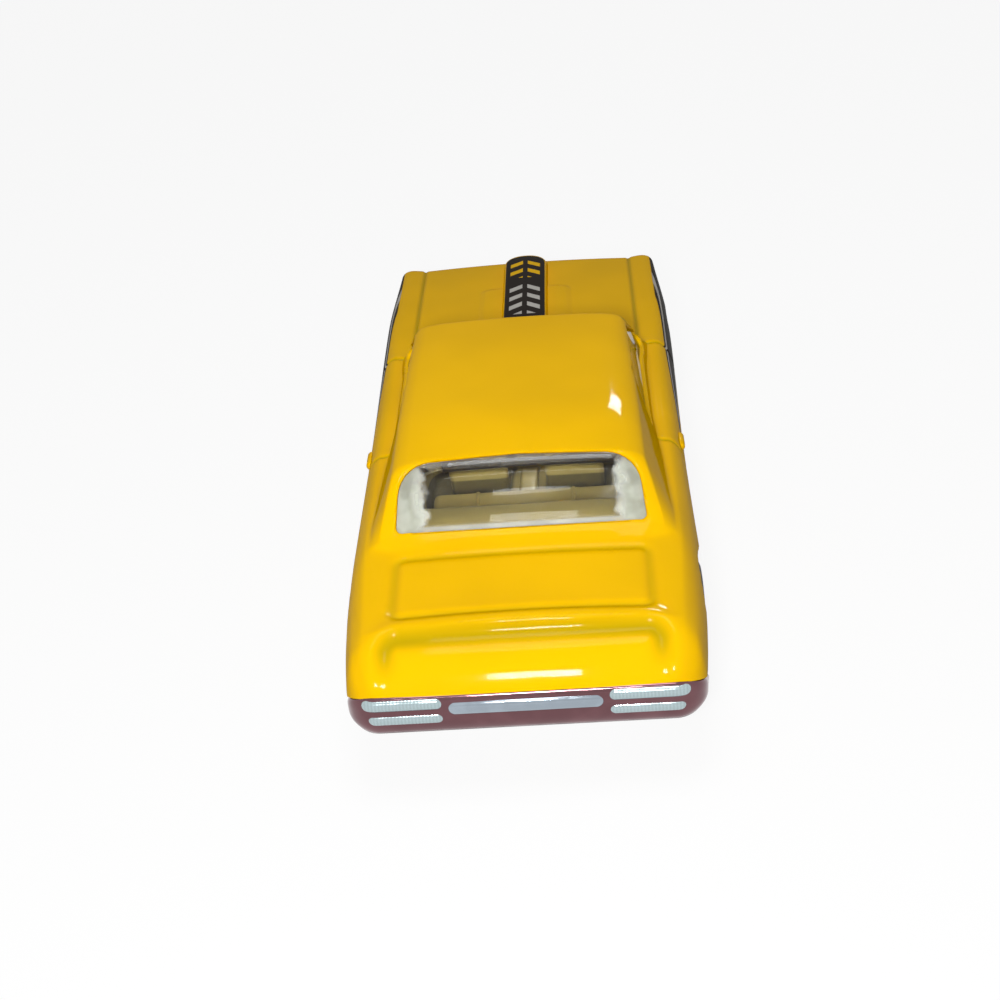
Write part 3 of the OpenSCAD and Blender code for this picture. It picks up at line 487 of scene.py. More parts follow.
def copied(obj, name):
    """A copy with a mesh of its own."""
    only(obj)
    bpy.ops.object.duplicate(linked=False)
    return fresh(name)


def finished(obj, material, body="car", replaces=None, angle=32):
    """Gives a piece its finish and ties it to the frame."""
    only(obj)
    bpy.ops.object.shade_smooth_by_angle(angle=math.radians(angle))
    obj.data.materials.clear()
    obj.data.materials.append(material)
    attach(obj, body)
    if replaces:
        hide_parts(replaces)
    return obj


# Materials: small helpers, then one function for each finish.
class Finish:
    """A node material with a Principled shader."""

    def __init__(self, name):
        self.material = bpy.data.materials.new(name)
        self.material.use_nodes = True
        self.tree = self.material.node_tree
        self.shader = next(n for n in self.tree.nodes if n.type == "BSDF_PRINCIPLED")
        self.output = next(n for n in self.tree.nodes if n.type == "OUTPUT_MATERIAL")
        self.place = self.tree.nodes.new("ShaderNodeTexCoord").outputs["Object"]

    def join(self, source, target):
        """Links an output to a socket, or sets the socket to a plain value."""
        if hasattr(source, "is_output"):
            self.tree.links.new(source, target)
        else:
            target.default_value = source

    def set(self, **values):
        """Sets the shader's sockets by their names."""
        for name, value in values.items():
            self.join(value, self.shader.inputs[name.replace("_", " ")])

    def sum(self, operation, *values):
        """One step of arithmetic."""
        node = self.tree.nodes.new("ShaderNodeMath")
        node.operation = operation
        for value, socket in zip(values, node.inputs):
            self.join(value, socket)
        return node.outputs[0]

    def times(self, first, *others):
        """The product of all the values."""
        for other in others:
            first = self.sum("MULTIPLY", first, other)
        return first

    def ramp(self, value, low, high, start=0.0, end=1.0):
        """A smooth change from start to end as a value goes from low to high."""
        node = self.tree.nodes.new("ShaderNodeMapRange")
        node.interpolation_type = "SMOOTHSTEP"
        names = ("Value", "From Min", "From Max", "To Min", "To Max")
        for name, source in zip(names, (value, low, high, start, end)):
            self.join(source, node.inputs[name])
        return node.outputs[0]

    def axes(self):
        """The place on the piece in millimetres, as x, y and z."""
        node = self.tree.nodes.new("ShaderNodeSeparateXYZ")
        self.join(self.place, node.inputs[0])
        return [self.sum("MULTIPLY", out, 1000) for out in node.outputs]

    def noise(self, scale, detail):
        """Random patches over the piece."""
        node = self.tree.nodes.new("ShaderNodeTexNoise")
        for name, value in (("Scale", scale), ("Detail", detail), ("Vector", self.place)):
            self.join(value, node.inputs[name])
        return node.outputs["Fac"]

    def patchy(self, scale, detail, start=0.0, end=1.0):
        """A value that changes from patch to patch."""
        return self.ramp(self.noise(scale, detail), 0.3, 0.7, start, end)

    def mix(self, share, first, second):
        """From the first colour to the second."""
        node = self.tree.nodes.new("ShaderNodeMix")
        node.data_type = "RGBA"
        self.join(share, node.inputs[0])
        for value, socket in ((first, node.inputs[6]), (second, node.inputs[7])):
            self.join(value if hasattr(value, "is_output") else (*value, 1.0), socket)
        return node.outputs[2]

    def bump(self, height, depth, strength=1.0):
        """Small relief, its depth in millimetres."""
        node = self.tree.nodes.new("ShaderNodeBump")
        node.inputs["Strength"].default_value = strength
        node.inputs["Distance"].default_value = depth * MM
        self.join(height, node.inputs["Height"])
        self.join(node.outputs[0], self.shader.inputs["Normal"])

    def blend(self, share, other):
        """Lets another shader take a share of the surface."""
        both = self.tree.nodes.new("ShaderNodeMixShader")
        for source, socket in zip((share, self.shader.outputs[0], other.outputs[0]), both.inputs):
            self.join(source, socket)
        self.join(both.outputs[0], self.output.inputs["Surface"])


def tuned(colour, amount):
    """A darker or lighter form of a colour."""
    return tuple(min(1.0, c * amount) for c in colour)


def enamel(f, colour):
    """The gloss of thick enamel over a colour."""
    f.set(Base_Color=colour, Roughness=f.patchy(260, 3, 0.28, 0.38), Specular_IOR_Level=0.0,
          Coat_Weight=0.1, Coat_Roughness=f.patchy(180, 2, 0.03, 0.07))
    f.bump(f.noise(420, 1), 0.012, 0.25)


def thick_paint(colours):
    """Glossy enamel, thick and a little uneven, drawn darker in the panel lines (pooled paint and painted
    shade), with a printed stripe that narrows along the flank.
    """
    f = Finish("thick_paint")
    base = tuple(colours.paint)
    colour = f.mix(f.patchy(90, 2), tuned(base, 0.95), tuned(base, 1.03))
    pooled_and_shaded = f.tree.nodes.new("ShaderNodeAttribute")
    pooled_and_shaded.attribute_name = "pooled_and_shaded"
    # Darker paint in the lines and grooves: partly pooled paint, partly painted shade.
    colour = f.mix(pooled_and_shaded.outputs["Fac"], colour, (0.56 * base[0], 0.66 * base[1], base[2]))
    x, y, z = f.axes()
    tip_y, tip_z, top_z, low_z = -8, 11.8, 13.0, 8.2
    under = f.sum("SUBTRACT", f.ramp(y, tip_y, 14, tip_z, top_z), z)
    over = f.sum("SUBTRACT", z, f.ramp(y, tip_y, 34, tip_z, low_z))
    flank = f.ramp(f.sum("ABSOLUTE", x), 13.9, 14.05)
    inside = f.sum("MINIMUM", under, over)
    dark = f.times(f.ramp(inside, 0.0, 0.06), flank)
    line = f.times(f.ramp(inside, 0.22, 0.26), f.ramp(inside, 0.46, 0.5, 1.0, 0.0), flank)
    colour = f.mix(dark, colour, tuple(colours.print_dark))
    enamel(f, f.mix(line, colour, tuple(colours.print_silver)))
    return f.material


def scoop_print(colours):
    """The scoop's enamel with a dark printed field, silver chevrons behind and yellow bars ahead."""
    f = Finish("scoop_print")
    base = tuple(colours.paint)
    colour = f.mix(f.patchy(90, 2), tuned(base, 0.95), tuned(base, 1.03))
    x, y, _ = f.axes()
    wide = f.sum("ABSOLUTE", x)
    round_from = 33.6
    reach = f.sum("MAXIMUM", f.sum("SUBTRACT", y, round_from), 0.0)
    round_x = f.sum("SQRT", f.sum("ADD", f.times(wide, wide), f.times(reach, reach)))
    field = f.times(f.ramp(round_x, 2.12, 2.2, 1.0, 0.0), f.ramp(y, 18.9, 19.0))
    pitch, slant = 2.3, -0.8
    band = f.sum("FRACT", f.sum("DIVIDE", f.sum("SUBTRACT", y, f.times(wide, slant)), pitch))
    chevron = f.times(f.ramp(band, 0.5, 0.56), f.ramp(band, 0.94, 1.0, 1.0, 0.0),
                      f.ramp(wide, 1.6, 1.68, 1.0, 0.0), f.ramp(wide, 0.24, 0.3))
    silver = f.times(chevron, f.ramp(y, 27.4, 27.5, 1.0, 0.0), f.ramp(y, 19.6, 19.7))
    yellow = f.times(chevron, f.ramp(y, 29.2, 29.3), f.ramp(round_x, 1.6, 1.68, 1.0, 0.0))
    colour = f.mix(field, colour, tuple(colours.print_dark))
    colour = f.mix(silver, colour, tuple(colours.print_silver))
    enamel(f, f.mix(yellow, colour, base))
    return f.material


def plating(name, colour):
    """Bright vacuum plating with faint haze and pits."""
    f = Finish(name)
    haze = f.ramp(f.noise(420, 3), 0.35, 0.7)
    f.set(Base_Color=f.mix(haze, tuned(colour, 0.9), tuned(colour, 1.06)), Metallic=1.0,
          Roughness=f.ramp(f.noise(700, 4), 0.3, 0.75, 0.07, 0.2))
    f.bump(f.noise(1500, 2), 0.008, 0.5)
    return f.material


def bare_metal(name, colour, smooth, rough):
    """Bare metal with a fine cast or drawn grain."""
    f = Finish(name)
    grain = f.noise(900, 5)
    f.set(Base_Color=f.mix(f.ramp(grain, 0.3, 0.7), tuned(colour, 0.82), tuned(colour, 1.08)), Metallic=1.0,
          Roughness=f.patchy(350, 4, smooth, rough))
    f.bump(grain, 0.02, 0.6)
    return f.material


def moulded_plastic(name, colour, footwell_shade=None, shelf=None):
    """Plain moulded plastic.

    It is drawn darker in the footwells (beside x, ahead of y and below z) and on the shelf (behind y), if
    given: painted shade.
    """
    f = Finish(name)
    shade = f.mix(f.patchy(160, 3), tuned(colour, 0.86), tuned(colour, 1.1))
    if footwell_shade:
        x, y, z = f.axes()
        beside, ahead, below = footwell_shade
        # The footwells drawn dark: painted shade.
        painted_well_shade = f.times(f.ramp(f.sum("ABSOLUTE", x), beside, beside + 0.4), f.ramp(y, ahead, ahead + 0.6),
                       f.ramp(z, below - 0.4, below, 0.85, 0.0))
        shade = f.mix(painted_well_shade, shade, tuned(colour, 0.18))
        # The shelf drawn darker: painted shade.
        shade = f.mix(f.ramp(y, shelf - 0.3, shelf, 0.5, 0.0), shade, tuned(colour, 0.3))
    f.set(Base_Color=shade, Roughness=f.patchy(500, 3, 0.42, 0.6))
    f.bump(f.noise(2600, 2), 0.015, 0.5)
    return f.material


def tyre_rubber(colours):
    """Matt black moulding with a grey bloom."""
    f = Finish("tyre_rubber")
    base = tuple(colours.rubber)
    bloom = f.noise(240, 4)
    f.set(Base_Color=f.mix(f.ramp(bloom, 0.35, 0.75), base, tuned(base, 2.2)),
          Roughness=f.ramp(bloom, 0.3, 0.7, 0.55, 0.78))
    f.bump(f.noise(1800, 3), 0.02, 0.6)
    return f.material


def clear_moulding(colours):
    """Clear plastic that lets lamps through. On the rear pane it is paler and less clear at the thick ends,
    the foot and the top, painted light refracted in the thick edges; the side panes are tinted dark, painted
    shade of the interior behind them.
    """
    f = Finish("clear_moulding")
    x, y, z = f.axes()
    back = f.ramp(y, -16.5, -15.5, 1.0, 0.0)
    up = f.sum("ADD", f.times(f.sum("SUBTRACT", y, GLASS_FOOT), math.cos(BACK_LEAN)),
               f.times(f.sum("SUBTRACT", z, DECK_Z + 0.5), math.sin(BACK_LEAN)))
    wide = f.sum("ABSOLUTE", x)
    cloud = f.noise(620, 2)
    reach = f.sum("ADD", wide, f.ramp(cloud, 0.25, 0.75, -0.6, 0.6))
    ends = f.ramp(reach, 7.9, 9.1, 0.0, 0.8)
    edges = f.sum("MAXIMUM", f.ramp(up, 0.75, 1.05, 0.35, 0.0), f.ramp(up, 5.7, 6.1, 0.0, 0.2))
    # Paler and less clear at the rear pane's ends and edges: painted light refracted in the thick edges.
    painted_edge_light = f.times(f.sum("MAXIMUM", ends, edges), back)
    edge_light_colour = f.mix(f.ramp(cloud, 0.35, 0.7), (0.25, 0.27, 0.19), (0.46, 0.5, 0.42))
    # The side panes are darkened: painted shade of the interior behind them.
    beside = f.times(f.ramp(wide, 9.2, 9.5), f.sum("SUBTRACT", 1.0, back))
    shaded_side_tint = f.mix(beside, tuple(colours.glass), tuned(tuple(colours.glass), 0.16))
    f.set(Base_Color=f.mix(painted_edge_light, shaded_side_tint, edge_light_colour), IOR=1.3,
          Transmission_Weight=f.sum("SUBTRACT", 1.0, painted_edge_light),
          Roughness=f.patchy(500, 2, 0.0, 0.03))
    through = f.tree.nodes.new("ShaderNodeBsdfTransparent")
    through.inputs["Color"].default_value = (*colours.glass, 1.0)
    light = f.tree.nodes.new("ShaderNodeLightPath")
    f.blend(light.outputs["Is Shadow Ray"], through)
    return f.material


def lamp_lens(name, colour):
    """A bright lamp insert with fine vertical flutes."""
    f = Finish(name)
    x = f.axes()[0]
    flutes_per_mm = 3.6
    flute = f.sum("ABSOLUTE", f.sum("SUBTRACT", f.sum("FRACT", f.times(x, flutes_per_mm)), 0.5))
    f.set(Base_Color=f.mix(f.ramp(flute, 0.1, 0.4), tuned(colour, 0.94), tuned(colour, 1.04)), Metallic=0.75,
          Roughness=f.patchy(600, 3, 0.08, 0.2))
    f.bump(flute, 0.012, 0.3)
    return f.material


def length_setting(name, description, default):
    """A length that a user can change, in metres."""
    return bpy.props.FloatProperty(name=name, description=description, default=default, unit="LENGTH",
                                   subtype="DISTANCE")


class CoupeSizes(bpy.types.PropertyGroup):
    """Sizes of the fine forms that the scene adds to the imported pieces."""
    edge_round: length_setting("Opening edges", "Radius of the paint's edge round each opening", 0.00032)
    line_depth: length_setting("Panel lines", "Depth of the soft panel lines", 0.00018)
    scoop_width: length_setting("Scoop width", "Width of the scoop on the hood", 0.0049)
    scoop_height: length_setting("Scoop height", "Height of the scoop above the hood", 0.00095)
    tail_groove: length_setting("Tail groove", "Depth of the groove under the tail's ridge", 0.00026)
    tread_depth: length_setting("Tread", "Depth of the tyres' grooves", 0.00022)


def colour_setting(name, description, default):
    """A colour that a user can change."""
    return bpy.props.FloatVectorProperty(name=name, description=description, default=default, subtype="COLOR",
                                         size=3, min=0.0, max=1.0)


class CoupeColours(bpy.types.PropertyGroup):
    """Colours of the coupe's finishes."""
    paint: colour_setting("Paint", "Enamel of the shell", (0.89, 0.5, 0.0))
    print_dark: colour_setting("Dark print", "Dark field of the printed design", (0.022, 0.016, 0.012))
    print_silver: colour_setting("Silver print", "Pale part of the printed design", (0.52, 0.5, 0.46))
    # The plating's plum is a painted reflection of purple surroundings on chrome.
    plated: colour_setting("Plating", "Plated bumpers", (0.185, 0.09, 0.1))
    lamps: colour_setting("Lamps", "Lamp bars in the bumpers", (0.43, 0.53, 0.55))
    rims: colour_setting("Rims", "Plated wheels", (0.72, 0.72, 0.73))
    rubber: colour_setting("Rubber", "Tyres", (0.018, 0.018, 0.019))
    glass: colour_setting("Glazing", "Clear moulding", (0.94, 0.95, 0.93))
    inside: colour_setting("Interior", "Seats and floor", (0.42, 0.32, 0.09))
    dash: colour_setting("Dashboard", "Dashboard and steering wheel", (0.05, 0.042, 0.034))
    base: colour_setting("Base", "Bare metal of the base", (0.38, 0.37, 0.37))
    steel: colour_setting("Steel", "Axle pins and rivets", (0.6, 0.6, 0.61))


def capsule(name, start, end, radius, flat=1.0, axis=0):
    """A round-ended bar between two points along X or Y, flattened along Y."""
    obj = ball(name, radius, 24, (math.pi / 2, 0, 0) if axis else (0, math.pi / 2, 0))
    start, end = np.array(start, float), np.array(end, float)
    points = np.array([v.co for v in obj.data.vertices]) / MM
    lane = points[:, axis].copy()
    points[:, 1] *= flat
    points[:, axis] += np.where(abs(lane) < 1e-6, 0, np.sign(lane)) * abs(end - start)[axis] / 2
    put(obj, points + (start + end) / 2)
    return obj


def opening_roll(points, radius):
    """How far the paint rolls in at the edge of each window and wheel arch."""
    flat = points.reshape(-1, 3)
    amount = np.zeros(len(flat))
    for (corners, radii), plane, depth, share in OPENINGS:
        outline = round_outline(corners, radii)
        local = np.array(plane.inverted())
        near = flat @ local[:3, :3].T + local[:3, 3]
        distance = outline_distance(near[:, :2], outline)
        beside = (abs(near[:, 2]) < depth) & (flat[:, 2] > BELT_Z)
        amount = np.maximum(amount, np.where(beside, round_off(distance, share * radius), 0))
    for y, tyre in WHEELS:
        distance = np.hypot(flat[:, 1] - y, flat[:, 2] - tyre) - tyre - ARCH_GAP
        amount = np.maximum(amount, np.where(abs(flat[:, 0]) > FLANK_X, round_off(distance, radius), 0))
    return amount.reshape(points.shape[:2])


def groove(distance, width):
    """How near a soft groove's middle is: 1 in it, falling to 0 on both sides."""
    return np.exp(-(distance / (width / 2)) ** 2)


def line_distance(points, start, end):
    """Distance of points to a straight line between two places."""
    start, way = np.array(start), np.array(end) - start
    t = np.clip((points - start) @ way / (way @ way), 0, 1)
    return np.linalg.norm(points - start - t[..., None] * way, axis=-1)


def shell_lines(points, sizes):
    """The lines in the shell: how near each is to each point, its depth and how much darker the paint is
    drawn in it, partly for pooled paint and partly as painted shade.
    """
    x, y, z = points[..., 0], points[..., 1], points[..., 2]
    depth = sizes.line_depth / MM
    top = z > TOP_Z
    hood = np.where(top, box_distance(x, y, (-11.6, COWL + 2), (11.6, NOSE + 9), 0.6), NO_LINE)
    boot = np.where(top, box_distance(x, y, (-10.5, LIP + 1.4), (10.5, GLASS_FOOT - 2), 0.9), NO_LINE)
    door = np.where(abs(x) > 11.5, box_distance(y, z, (-6.2, SILL_Z + 1.6), (COWL - 0.15, 30), 0.8), NO_LINE)
    wide = np.stack((abs(x), y, z), -1)
    pillar = line_distance(wide, (CABIN_X + 0.4, COWL - 0.1, BELT_Z - 0.1),
                           (ROOF_X - 0.3, HEADER + 0.3, ROOF_Z - 1.4))
    tail = tail_panel(x, y, z)
    # The last value of each line darkens its paint: pooled paint and painted shade, mostly shade under the
    # tail's ridge and along the pillar.
    return ((groove(hood, 0.42), depth, 1.0),
            (groove(boot, 0.8), 1.1 * depth, 0.5),
            (groove(door, 0.42) * smooth_step(14.6, 14.0, z), depth, 1.1),
            (groove(pillar, 0.5), depth, 1.2),
            (groove(tail + 0.7, 1.4) * smooth_step(TAIL + 0.6, TAIL + 3.2, y), sizes.tail_groove / MM, 1.0))


def tail_panel(x, y, z):
    """Distance to the raised border of the tail, below 0 on the panel inside it."""
    border = box_distance(x, y, (-11.6, TAIL - 6), (11.6, LIP - 0.1), 1.8)
    return np.where((y < LIP + 1.5) & (z > TAIL_Z - 0.4), border, NO_LINE)


def shell_relief(points, sizes):
    """How far the outside goes in at each point: the lines, less the hood's panel and the tail's ridge."""
    panel_rise, ridge_rise = 0.25, 0.16
    x, y, z = points[..., 0], points[..., 1], points[..., 2]
    amount = sum(near * depth for near, depth, _ in shell_lines(points, sizes))
    panel = box_distance(x, y, (-4.7, COWL - 4), (4.7, 28.4), 1.0)
    amount -= np.where((z > TOP_Z) & (y > COWL), panel_rise * smooth_step(0.3, -0.3, panel), 0)
    ridge = groove(tail_panel(x, y, z) - 0.4, 1.5) * smooth_step(TAIL + 0.1, TAIL + 0.9, y)
    return amount - ridge_rise * ridge


def mark_pooled_and_shaded(shell, sizes):
    """Marks on the mesh where the paint is drawn darker in the lines: pooled paint and painted shade."""
    points = np.array([v.co for v in shell.data.vertices]) / MM
    pooled_and_shaded = sum(near * dark for near, _, dark in shell_lines(points, sizes))
    marks = shell.data.attributes.new("pooled_and_shaded", "FLOAT", "POINT")
    marks.data.foreach_set("value", np.minimum(pooled_and_shaded, 1.0))


class COUPE_OT_shell(bpy.types.Operator):
    """Model the painted shell with its openings and panel lines"""
    bl_idname = "coupe.shell"
    bl_label = "Painted shell"

    def execute(self, context):
        sizes = context.scene.coupe_sizes
        points = skin_points(FINE_STATIONS, 0.0, FINE, foot=9)
        inward = shell_relief(points, sizes) + opening_roll(points, sizes.edge_round / MM)
        points = points - outward(points) * inward[..., None]
        shell = tube("painted_shell", points)
        hollow = skin_points(PLAIN_STATIONS, WALL + 0.05, PLAIN, foot=1, end_round=0.0)
        hollow[:, (0, -1), 2] -= 3
        carve(shell, tube("hollow", hollow))
        for (corners, radii), plane, depth, _ in OPENINGS:
            carve(shell, prism("opening", round_outline(corners, radii), plane, -depth, depth))
        for y, tyre in WHEELS:
            for side in (-1, 1):
                place, across = (side * 14, y, tyre), (0, math.pi / 2, 0)
                carve(shell, cylinder("arch", tyre + ARCH_GAP, 8, place, across, 96))
        top = NOSE_BAR_TOP + BUMPER_ROOM
        carve(shell, block("front_room", (-FAR, NOSE - BUMPER_WRAP, -1), (FAR, FAR, top)))
        wrap, top = TAIL + BUMPER_WRAP, REAR_BUMPER_TOP + BUMPER_ROOM
        room = ((-FAR, -1), (wrap, -1), (wrap, top - REAR_BUMPER_FALL * BUMPER_WRAP), (TAIL, top),
                (-FAR, top))
        carve(shell, prism("rear_room", room, SIDE_PLANE, -FAR, FAR))
        grille = round_outline(((-11, 9.2), (11, 9.2), (11, 9.9), (-11, 9.9)), (0.7,) * 4)
        upright = Matrix.Translation((0, NOSE, 0)) @ Matrix.Rotation(math.pi / 2, 4, "X")
        carve(shell, prism("grille_hole", grille, upright, -1.7, 1.7))
        for side in (-1, 1):
            for outline in WHEEL_WEBS:
                low, high = side * WEB_X - WEB_HALF, side * WEB_X + WEB_HALF
                carve(shell, prism("wheel_web", outline, SIDE_PLANE, low, high), "UNION")
            x, z = side * GRIP_X, GRIP_Z
            carve(shell, capsule("grip", (x, -4.8, z), (x, -3.2, z), 0.45, axis=1), "UNION")
        # Marks where the paint is drawn darker in the lines: pooled paint and painted shade.
        mark_pooled_and_shaded(shell, sizes)
        paint = thick_paint(context.scene.coupe_colours)
        finished(shell, paint, replaces="body_shell")
        return {"FINISHED"}


def hood_height(x, y):
    """Height of the hood's outside at places on it, before its relief."""
    ys = np.unique(y)
    skin = skin_points(ys, 0.0, FINE, foot=2)
    out = np.empty(len(x))
    for i, station in enumerate(ys):
        here = y == station
        ring = skin[i][skin[i][:, 2] > TOP_Z]
        out[here] = np.interp(x[here], ring[::-1, 0], ring[::-1, 2])
    return out


class COUPE_OT_scoop(bpy.types.Operator):
    """Model the long scoop on the hood"""
    bl_idname = "coupe.scoop"
    bl_label = "Hood scoop"

    def execute(self, context):
        sizes = context.scene.coupe_sizes
        half, rise = sizes.scoop_width / 2 / MM, sizes.scoop_height / MM
        back, front = COWL + 2.5, NOSE - 0.3
        shoulder, step, floor_z = 0.5, 0.05, 12.2
        ys = np.concatenate((back + end_steps(8, 0.5), np.arange(back + 0.9, front - half, 0.4),
                             front - half + half * np.sin(np.linspace(0, math.pi / 2, 26))[:-1]))
        across = np.sin(np.linspace(-math.pi / 2, math.pi / 2, 41))
        ahead = np.clip((ys - (front - half)) / half, 0, 1)
        reach = half * np.sqrt(1 - ahead ** 2)
        x = across[None, :] * reach[:, None]
        y = np.broadcast_to(ys[:, None], x.shape)
        edge = np.minimum(half - np.hypot(x, np.maximum(y - (front - half), 0)), y - back)
        z = hood_height(x.ravel(), y.ravel()).reshape(x.shape) + step
        z = z + (rise - step) * (1 - round_off(np.maximum(edge, 0), shoulder) / shoulder)
        top = np.stack((x, y, z), -1)
        floor = np.stack((x[:, ::-1], y[:, ::-1], np.full_like(x, floor_z)), -1)
        scoop = tube("hood_scoop", np.concatenate((top, floor), 1))
        finished(scoop, scoop_print(context.scene.coupe_colours), angle=50)
        return {"FINISHED"}


class COUPE_OT_glazing(bpy.types.Operator):
    """Model the clear moulding with its four panes"""
    bl_idname = "coupe.glazing"
    bl_label = "Glazing"

    def execute(self, context):
        gap, thick, sunk, pane_gap, foot_z = 0.14, 0.8, 0.35, 0.03, 13.5
        clear_part = tube("clear_glazing", skin_points(PLAIN_STATIONS, WALL + gap, PLAIN, foot=2))
        cabin = block("cabin", (-FAR, GLASS_FOOT - 0.8, foot_z), (FAR, COWL + 0.8, FAR))
        carve(clear_part, cabin, "INTERSECT")
        for (corners, radii), plane, depth, _ in OPENINGS:
            pane = tube("pane", skin_points(PLAIN_STATIONS, sunk, PLAIN, foot=2))
            opening = prism("opening", round_outline(corners, radii, -pane_gap), plane, -depth, depth)
            carve(pane, opening, "INTERSECT")
            carve(clear_part, pane, "UNION")
        inside = skin_points(PLAIN_STATIONS, WALL + gap + thick, PLAIN, foot=1)
        inside[:, (0, -1), 2] -= 6
        carve(clear_part, tube("inside", inside))
        clear_finish = clear_moulding(context.scene.coupe_colours)
        finished(clear_part, clear_finish, replaces="glazing")
        return {"FINISHED"}


def seat_back(name, low, high, lean, soft):
    """An upright cushion that leans back toward the tail; one across the car also narrows upward."""
    part = block(name, low, high)
    for v in part.data.vertices:
        if v.co.z > (low[2] + high[2]) / 2 * MM:
            v.co.y -= lean * MM
            v.co.x *= 0.9 if low[0] * high[0] < 0 else 1.0
    return softened(part, soft, 4)


class COUPE_OT_interior(bpy.types.Operator):
    """Model the seats, the floor, the dashboard and the steering wheel"""
    bl_idname = "coupe.interior"
    bl_label = "Interior"

    def execute(self, context):
        colours = context.scene.coupe_colours
        # The tan plastic is drawn darker in the footwells and on the shelf: painted shade.
        tan = moulded_plastic("tan_plastic", tuple(colours.inside), footwell_shade=(1.4, -8.2, 9.6), shelf=-13.5)
        dark = moulded_plastic("dash_plastic", tuple(colours.dash))
        floor, rim, back, front, half, wall = 5.8, 13.2, -17.4, 12.4, 10.16, 0.8
        seat_x, seat_half, bench_half = 4.56, 2.8, 8.56
        tray = block("tray", (-half, back, floor - wall), (half, front, rim))
        carve(tray, block("room", (-half + wall, back + wall, floor), (half - wall, front - wall, FAR), 0.6))
        parts = [tray, block("tunnel", (-0.9, -8, floor - 0.1), (0.9, front - 1, floor + 1.5), 0.45),
                 block("bench", (-bench_half, -13, floor - 0.1), (bench_half, -7.8, floor + 4.5), 0.7, 4),
                 seat_back("bench_back", (-bench_half, -14, floor), (bench_half, -11.6, floor + 7), 1.6, 0.7),
                 block("shelf", (-half + 0.5, back + 0.1, rim - 0.9), (half - 0.5, -13.8, rim - 0.2), 0.3)]
        for x in (-seat_x, seat_x):
            left, right = x - seat_half, x + seat_half
            parts.append(block("cushion", (left, -2, floor - 0.1), (right, 4.6, floor + 2.2), 0.7, 4))
            parts.append(seat_back("rest", (left, -2.6, floor), (right, -0.8, floor + 7.8), 1.7, 0.6))
            for edge in (left, right - 0.9):
                parts.append(block("bolster", (edge, -1.6, floor + 1.6), (edge + 0.9, 4.2, floor + 2.7), 0.4))
        for x in (-4.4, 4.4):
            parts.append(block("pleat", (x - 0.2, -12.6, floor + 4.2), (x + 0.2, -8.1, floor + 4.62), 0.18))
        finished(joined("seat_tub", parts), tan, replaces="interior_tub")

        low = rim - 3.6
        face = ((0, low), (0, rim), (-1.6, rim + 0.3), (-3, rim - 0.2), (-2.6, low + 0.6), (-1.8, low))
        along = Matrix.Translation((0, front - wall, 0)) @ SIDE_PLANE
        parts = [softened(prism("panel", face[::-1], along, -half + wall, half - wall), 0.25)]
        for x in (-5.7, -3.5):
            dial = cylinder("dial", 0.8, 0.5, (x, front - 3.62, rim - 0.95), (math.radians(82), 0, 0))
            parts.append(softened(dial, 0.12))
        finished(joined("dash_panel", parts), dark, replaces="dashboard")

        clear()
        bpy.ops.mesh.primitive_torus_add(major_radius=1.9 * MM, minor_radius=0.3 * MM, major_segments=48,
                                         minor_segments=14)
        parts = [fresh("grip")]
        for turn in (90, 210, 330):
            spoke = block("spoke", (0.2, -0.28, -0.14), (1.85, 0.28, 0.12), 0.1)
            spoke.data.transform(Matrix.Rotation(math.radians(turn), 4, "Z"))
            parts.append(spoke)
        parts.append(softened(cylinder("boss", 0.55, 0.6), 0.15))
        parts.append(cylinder("column", 0.33, 1.2, (0, 0, -0.6), vertices=24))
        wheel = joined("wheel_ring", parts)
        foot = Vector((-seat_x, front - 3.5, rim - 1.6)) * MM
        wheel.data.transform(Matrix.Translation(foot) @ Matrix.Rotation(math.radians(68), 4, "X")
                             @ Matrix.Translation((0, 0, 1.6 * MM)))
        finished(wheel, dark, replaces="steering_wheel")
        return {"FINISHED"}


def bumper_path(front, height):
    """The way round the car's end at a height, as (x, y, outward x, outward y) from right to left."""
    sign = 1 if front else -1
    reach = NOSE - 4.4
    ys = np.concatenate((np.linspace(reach, NOSE - TAIL_ROUND, 8)[:-1],
                         NOSE - TAIL_ROUND * (1 - np.sin(np.linspace(0, math.pi / 2, 22))))) * sign
    skin = skin_points(np.sort(ys), 0.0, FINE, foot=9, end_round=0.0)
    if not front:
        skin = skin[::-1]
    flank = skin[:, : skin.shape[1] // 4]
    xs = [np.interp(height, ring[:, 2], ring[:, 0]) for ring in flank]
    edge = np.stack((xs, skin[:, 0, 1]), 1)
    across = np.linspace(1, -1, 42)[1:-1] * edge[-1, 0]
    face = np.stack((across, np.full(len(across), edge[-1, 1])), 1)
    path = np.concatenate((edge, face, edge[::-1] * (-1, 1)))
    lean = np.gradient(path, axis=0)
    lean /= np.linalg.norm(lean, axis=1, keepdims=True)
    out = np.stack((lean[:, 1], -lean[:, 0]), 1)
    if (out * (path - (0, sign * 20))).sum() < 0:
        out = -out
    for _ in range(3):
        out[1:-1] = (out[:-2] + 2 * out[1:-1] + out[2:]) / 4
    out /= np.linalg.norm(out, axis=1, keepdims=True)
    return np.concatenate((path, out), 1)


